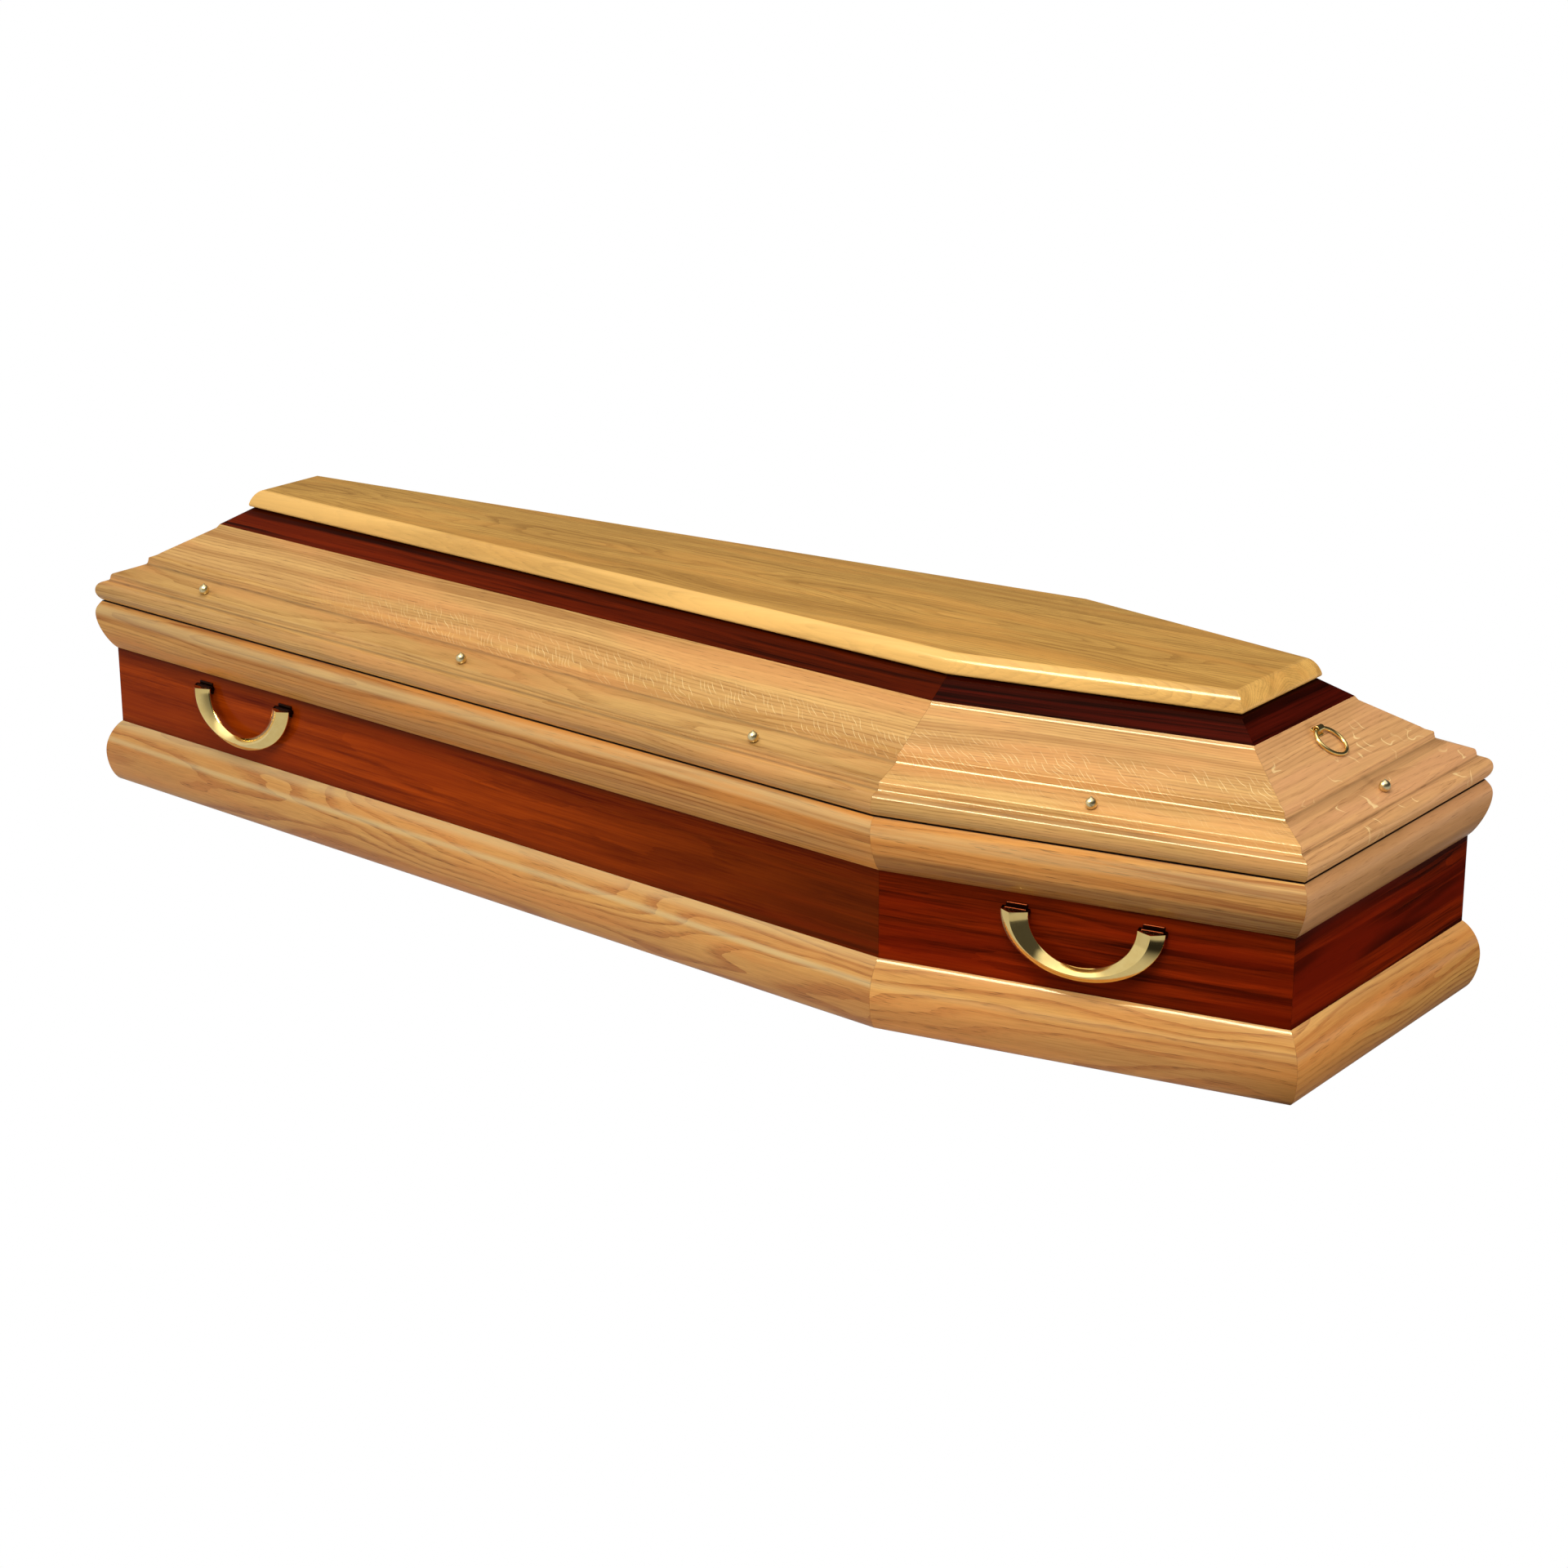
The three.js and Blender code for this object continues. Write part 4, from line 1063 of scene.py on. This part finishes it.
class COFFIN_OT_dark_bands(bpy.types.Operator):
    """Fit the stained band under the top board"""

    bl_idname = "coffin.dark_bands"
    bl_label = "Stained bands"

    def execute(self, context):
        scene = context.scene
        section = band_section(scene.coffin_box, scene.coffin_lid, scene.coffin_plan.gap)
        long = stained(scene.coffin_finishes, "band", specular=0.02, shade=1.0)
        head = stained(scene.coffin_finishes, "cap", specular=0.03, shade=1.0)

        def painted_shade(side, at, s, w):
            """Painted shadow under the top board's overhang; a long band is also painted darker towards
            the shoulder.
            """
            return np.maximum(window(w, 0.034, 0.09, 0.024),
                              0.5 * near_shoulder(side, at, 0.4, 0.6))

        add_boards(context, "lid_dark_band", section, (long, head, head, head, long, head),
                   "dark_wood", painted_shade)
        return {"FINISHED"}


class COFFIN_OT_top_board(bpy.types.Operator):
    """Lay the top board over the stained band"""

    bl_idname = "coffin.top_board"
    bl_label = "Top board"

    def execute(self, context):
        scene = context.scene
        plan = scene.coffin_plan
        edge = top_edge(scene.coffin_box, scene.coffin_lid, plan.gap)
        rings = np.stack([corner_out(plan, corner, edge[:, 0]) for corner in range(6)], axis=1)
        z = np.broadcast_to(edge[:, None, 1:], rings.shape[:2] + (1,))
        rings = np.concatenate([rings, z], axis=2)
        flat = rings.reshape(-1, 3)
        # Painted highlight: the round edge is painted paler, less so at the head end's two corners
        pale = np.ones(rings.shape[:2])
        pale[[0, -1]] = 0
        pale[:, HEAD_END:HEAD_END + 2] *= 0.3
        material = oak(scene.coffin_finishes, "top", "edge", stave=135, wander=60, wander_along=526,
                       bands=22.22, band_weight=1.25, streak_weight=1.0, fibre_weight=1.1,
                       warm_weight=0.45, shade=0.8)
        make_piece("oak_lid_top_board", [loft(rings)], material, "coffin", "oak",
                   ["lid_top_board"], grain=flat + (0.9, 0.02, -0.37),
                   lay=np.column_stack([flat[:, :2], pale.ravel()]))
        return {"FINISHED"}


class COFFIN_OT_handles(bpy.types.Operator):
    """Hang the four swing handles on their lugs"""

    bl_idname = "coffin.handles"
    bl_label = "Handles and lugs"

    def execute(self, context):
        scene = context.scene
        plan, box, fit = scene.coffin_plan, scene.coffin_box, scene.coffin_fittings
        lengths = plan_sides(plan)[3]
        pivot = box.base_height + box.panel_height - fit.pivot_from_top
        polished = cast_brass("polished_brass_handles", scene.coffin_finishes.brass, 0.07, 0.06, 0.6)
        # The lugs, ears and pins get brass painted dark for the shade and dark reflections behind the
        # handles
        bronze = cast_brass("darkened_bronze_lugs", scene.coffin_finishes.bronze, 0.14, 0.1, 0.6)
        places = {
            "left_foot": (0, fit.handle_from_foot),
            "left_head": (1, fit.from_shoulder),
            "right_head": (3, lengths[3] - fit.from_shoulder),
            "right_foot": (4, lengths[4] - fit.handle_from_foot),
        }
        leg = fit.leg_width / 2
        half = fit.handle_width / 2 - leg
        lug = leg - fit.ear - fit.ear_clearance
        ears = ear_section(fit, pivot)
        pin = round_trip((fit.pivot_off_wall, pivot), fit.pin_radius, 0, 2 * np.pi, 24)[:-1]
        plate = rounded_plate((-lug, pivot - fit.lug_below), (lug, pivot + fit.lug_above), 1.2 * MM)
        for name, (side, distance) in places.items():
            shells = [handle_rings(fit, pivot)]
            for middle in (-half, half):
                shells.append(prism(ears, middle + leg - fit.ear, middle + leg, 0.3 * MM))
                shells.append(prism(ears, middle - leg, middle - leg + fit.ear, 0.3 * MM))
                shells.append(prism(pin, middle - leg + MM, middle + leg - MM, 0.2 * MM))
            made = [loft(on_wall(plan, side, distance, rings)) for rings in shells]
            piece = make_piece(f"brass_handle_{name}", made, polished, f"{name}_handle", "brass",
                               [f"handle_{name}"], sharp=35)
            # All but the bow's own faces take the brass painted dark for shade and dark reflections
            piece.data.materials.append(bronze)
            behind = np.ones(len(piece.data.polygons), np.int32)
            behind[:len(made[0][1]) + len(made[0][2])] = 0
            piece.data.polygons.foreach_set("material_index", behind)
            # A left side runs towards the head end, a right side towards the foot end
            headwards = 1 if name.startswith("left") else -1
            for end, sign in (("foot", -1), ("head", 1)):
                middle = half * sign * headwards
                slab = plate_rings(plate, fit.lug_plate, 0.4 * MM, 1) + (middle, plan.gap, 0)
                eye = barrel((fit.pivot_off_wall, pivot), fit.eye_radius,
                             fit.pin_radius + fit.pin_clearance, middle - lug, middle + lug, 0.3 * MM)
                made = [loft(on_wall(plan, side, distance, slab)),
                        tube(on_wall(plan, side, distance, eye))]
                make_piece(f"brass_lug_{name}_{end}", made, bronze, "coffin", "brass",
                           [f"handle_lug_{name}_{end}"], sharp=35)
        return {"FINISHED"}


class COFFIN_OT_lid_screws(bpy.types.Operator):
    """Set the ten ball-headed lid screws on the shelf"""

    bl_idname = "coffin.lid_screws"
    bl_label = "Lid screws"

    def execute(self, context):
        scene = context.scene
        plan, lid, fit = scene.coffin_plan, scene.coffin_lid, scene.coffin_fittings
        at = lid_points(scene.coffin_box, lid, plan.gap)
        lengths = plan_sides(plan)[3]
        satin = cast_brass("satin_brass_screws", scene.coffin_finishes.brass_satin, 0.24, 0.1, 0.5)
        slope = lid.shelf_height / lid.shelf_width
        rings = ball_rings(fit, -slope)
        rings = rings * (1, -1, 1) + (
            0, at["shelf"][0] - fit.screw_on_shelf,
            at["shelf"][1] + fit.screw_on_shelf * slope + plan.gap)
        places = {
            "left_foot": (0, fit.screw_from_foot),
            "left_middle": (0, lengths[0] / 2),
            "left_shoulder": (0, lengths[0] - fit.screw_from_shoulder),
            "left_head": (1, fit.from_shoulder),
            "head_end": (2, lengths[2] / 2),
            "right_head": (3, lengths[3] - fit.from_shoulder),
            "right_shoulder": (4, fit.screw_from_shoulder),
            "right_middle": (4, lengths[4] / 2),
            "right_foot": (4, lengths[4] - fit.screw_from_foot),
            "foot_end": (5, lengths[5] / 2),
        }
        for name, (side, distance) in places.items():
            made = loft(on_wall(plan, side, distance, rings))
            make_piece(f"brass_screw_{name}", [made], satin, "coffin", "brass",
                       [f"lid_screw_{name}"], sharp=40)
        return {"FINISHED"}


class COFFIN_OT_lid_ring(bpy.types.Operator):
    """Hang the ring in its knuckle on the head end's slope"""

    bl_idname = "coffin.lid_ring"
    bl_label = "Lid ring and knuckle"

    def execute(self, context):
        scene = context.scene
        plan, lid, fit = scene.coffin_plan, scene.coffin_lid, scene.coffin_fittings
        at = lid_points(scene.coffin_box, lid, plan.gap)
        place = slope_frame(plan, lid, at, fit)
        brass = cast_brass("polished_brass_ring", scene.coffin_finishes.brass, 0.12, 0.08, 0.5)
        sag = fit.knuckle_width ** 2 / (8 * fit.ring_radius)
        reach = fit.ring_radius - sag / 2
        bore = fit.ring_wire + sag / 2 + fit.ring_clearance
        axis = plan.gap + fit.knuckle_radius
        dip = math.asin((axis - fit.ring_wire - plan.gap) / (reach + fit.ring_radius))
        around = np.linspace(0, 2 * np.pi, 96, endpoint=False)[:, None]
        wire = np.linspace(0, 2 * np.pi, 20, endpoint=False)
        ring = fit.ring_radius + fit.ring_wire * np.cos(wire)
        x = ring * np.cos(around)
        down = reach + ring * np.sin(around)
        high = np.broadcast_to(fit.ring_wire * np.sin(wire), x.shape)
        turned = np.stack([
            x,
            down * math.cos(dip) + high * math.sin(dip),
            axis - down * math.sin(dip) + high * math.cos(dip),
        ], axis=-1)
        make_piece("brass_lid_ring", [tube(place(turned))], brass, "ring", "brass", ["lid_ring"],
                   sharp=60)
        half = fit.knuckle_width / 2
        foot = rounded_plate((-half, -fit.knuckle_foot), (half, fit.knuckle_foot), 2 * MM)
        plate = plate_rings(foot, fit.knuckle_plate, 0.4 * MM, 2) + (0, 0, plan.gap)
        eye = barrel((0, axis), fit.knuckle_radius, bore, -half, half, 0.5 * MM)
        make_piece("brass_ring_knuckle", [loft(place(plate)), tube(place(eye))], brass, "coffin",
                   "brass", ["lid_ring_knuckle"], sharp=35)
        return {"FINISHED"}


def studio_paper(studio):
    """White paper to the eye and in shiny metal, a mid grey to matt surfaces, and away from the eye
    darker beyond the head end."""
    paper = bpy.data.materials.new("matt_studio_paper")
    add = partial(node, fresh_tree(paper))
    path = add("LightPath", {}, (), None)
    seen, mirrored = path["Is Camera Ray"], path["Is Glossy Ray"]
    towards_head = add("SeparateXYZ", {}, (add("TexCoord", {}, (), "Object"),))
    beyond = add("MapRange", EASED, (towards_head, 1.22, 1.36, 0.96, 0.1))
    shade = add("MapRange", EASED, (towards_head, 0.88, 1.06, 0.0, beyond))
    tone = add("Mix", COLOURS, {0: shade, 6: opaque(studio.floor_colour), 7: BLACK}, 2)
    matt = add("BsdfDiffuse", {}, {"Color": tone})
    glow = add("Emission", {}, {"Color": WHITE, "Strength": studio.floor_glow})
    image = add("Emission", {}, {"Color": tone, "Strength": studio.floor_mirrored})
    below = add("MixShader", {}, (mirrored, matt, image))
    add("OutputMaterial", {}, {"Surface": add("MixShader", {}, (seen, below, glow))}, None)
    return paper


def studio_world(studio):
    """Bright overhead, dim at the sides, white where the camera sees past the floor. In shiny
    metal: a white wall towards the foot, a dark one towards the head, a bright ceiling."""
    world = bpy.data.worlds.new("studio_surroundings")
    add = partial(node, fresh_tree(world))
    path = add("LightPath", {}, (), None)
    seen, mirrored = path["Is Camera Ray"], path["Is Glossy Ray"]
    towards_head, behind, height = add("SeparateXYZ", {}, (add("TexCoord", {}, (), "Generated"),),
                                       None)
    grade = add("MapRange", EASED, (height, 0.15, 0.8, studio.horizon, studio.sky))
    wall = add("MapRange", EASED, (towards_head, -0.35, 0.3, studio.foot_wall, 0.07))
    wall = add("MapRange", EASED, (behind, 0.0, 0.4, wall, 0.05))
    ceiling = add("MapRange", EASED, (height, 0.72, 0.9, 0.0, studio.ceiling))
    below = add("Mix", {}, {0: mirrored, 2: grade, 3: add("Math", ADD, (wall, ceiling))})
    strength = add("Mix", {}, {0: seen, 2: below, 3: 1.0})
    sky = add("Background", {}, {"Color": WHITE, "Strength": strength})
    add("OutputWorld", {}, {"Surface": sky}, None)
    return world


class COFFIN_OT_studio(bpy.types.Operator):
    """Set the pale floor, the soft light and the camera"""

    bl_idname = "coffin.studio"
    bl_label = "Studio"

    def execute(self, context):
        scene = context.scene
        studio = scene.coffin_studio
        reach = 80.0
        paper_mesh = bpy.data.meshes.new("studio_floor")
        paper_mesh.from_pydata(
            [(-reach, -reach, 0), (reach, -reach, 0), (reach, reach, 0), (-reach, reach, 0)],
            [], [(0, 1, 2, 3)])
        paper_mesh.materials.append(studio_paper(studio))
        floor = bpy.data.objects.new("studio_floor", paper_mesh)
        scene.collection.objects.link(floor)
        scene.world = studio_world(studio)

        # Name, place, aim, size, watts, colour, and whether it lights matt surfaces; a box that
        # doesn't shows only in shiny ones
        boxes = (
            ("key_soft_box", (1.36, -2.07, 3.0), (0.1, -0.05, 0.3), (2.0, 1.5), studio.key,
             WHITE, True),
            ("strip_soft_box", (-0.16, -1.70, 2.75), (-0.43, -0.3, 0.33), (1.6, 0.5), studio.strip,
             studio.strip_colour, False),
            ("side_soft_box", (-1.3, -2.1, 0.75), (-0.1, -0.3, 0.2), (0.9, 0.6), studio.side,
             WHITE, True),
            ("top_fill", (-1.3, 1.3, 2.1), (-0.7, 0.1, 0.44), (1.2, 1.2), studio.top_fill,
             WHITE, True),
            ("head_fill", (3.0, -0.1, 0.45), (1.0, 0.0, 0.2), (0.8, 0.6), studio.head_fill,
             WHITE, True),
        )
        for name, place, aim, extent, watts, colour, matt in boxes:
            light = bpy.data.lights.new(name, "AREA")
            light.color = colour[:3]
            light.shape = "RECTANGLE"
            light.size, light.size_y = extent
            light.energy = watts
            lamp = bpy.data.objects.new(name, light)
            lamp.visible_camera = False
            lamp.visible_diffuse = matt
            lamp.visible_glossy = not matt
            scene.collection.objects.link(lamp)
            turn = (Vector(place) - Vector(aim)).to_track_quat("Z", "Y").to_matrix().to_4x4()
            lamp.matrix_world = Matrix.Translation(place) @ turn

        lens = bpy.data.cameras.new("camera")
        lens.sensor_width = 36.0
        lens.lens = studio.lens
        lens.clip_end = 500.0
        camera = bpy.data.objects.new("camera", lens)
        scene.collection.objects.link(camera)
        turn = Euler((math.pi / 2 - studio.pitch, 0, studio.yaw)).to_matrix().to_4x4()
        camera.matrix_world = (
            Matrix.Translation(studio.camera) @ turn @ Matrix.Rotation(studio.roll, 4, "Z"))
        scene.camera = camera
        scene.view_settings.view_transform = "Standard"
        return {"FINISHED"}


class COFFIN_PT_parts(bpy.types.Panel):
    """Sizes, finishes and pieces of the coffin"""

    bl_label = "Coffin"
    bl_idname = "COFFIN_PT_parts"
    bl_space_type = "VIEW_3D"
    bl_region_type = "UI"
    bl_category = "Coffin"

    def draw(self, context):
        for label, key, group in GROUPS:
            box = self.layout.box()
            box.label(text=label)
            for name in group.__annotations__:
                box.prop(getattr(context.scene, key), name)
        for operator in OPERATORS:
            self.layout.operator(operator.bl_idname)


GROUPS = (
    ("Plan", "coffin_plan", CoffinPlan),
    ("Box", "coffin_box", CoffinBox),
    ("Lid", "coffin_lid", CoffinLid),
    ("Fittings", "coffin_fittings", CoffinFittings),
    ("Finishes", "coffin_finishes", CoffinFinishes),
    ("Studio", "coffin_studio", CoffinStudio),
)
OPERATORS = (
    COFFIN_OT_studio,
    COFFIN_OT_bottom_board,
    COFFIN_OT_walls,
    COFFIN_OT_base_mouldings,
    COFFIN_OT_cornice_mouldings,
    COFFIN_OT_lid_boards,
    COFFIN_OT_dark_bands,
    COFFIN_OT_top_board,
    COFFIN_OT_handles,
    COFFIN_OT_lid_screws,
    COFFIN_OT_lid_ring,
)


def register():
    for _, key, group in GROUPS:
        bpy.utils.register_class(group)
        setattr(bpy.types.Scene, key, PointerProperty(type=group))
    for operator in OPERATORS:
        bpy.utils.register_class(operator)
    bpy.utils.register_class(COFFIN_PT_parts)


def unregister():
    bpy.utils.unregister_class(COFFIN_PT_parts)
    for operator in reversed(OPERATORS):
        bpy.utils.unregister_class(operator)
    for _, key, group in reversed(GROUPS):
        delattr(bpy.types.Scene, key)
        bpy.utils.unregister_class(group)


def main():
    register()
    for operator in OPERATORS:
        getattr(bpy.ops.coffin, operator.bl_idname.split(".")[1])()


if __name__ == "__main__":
    main()
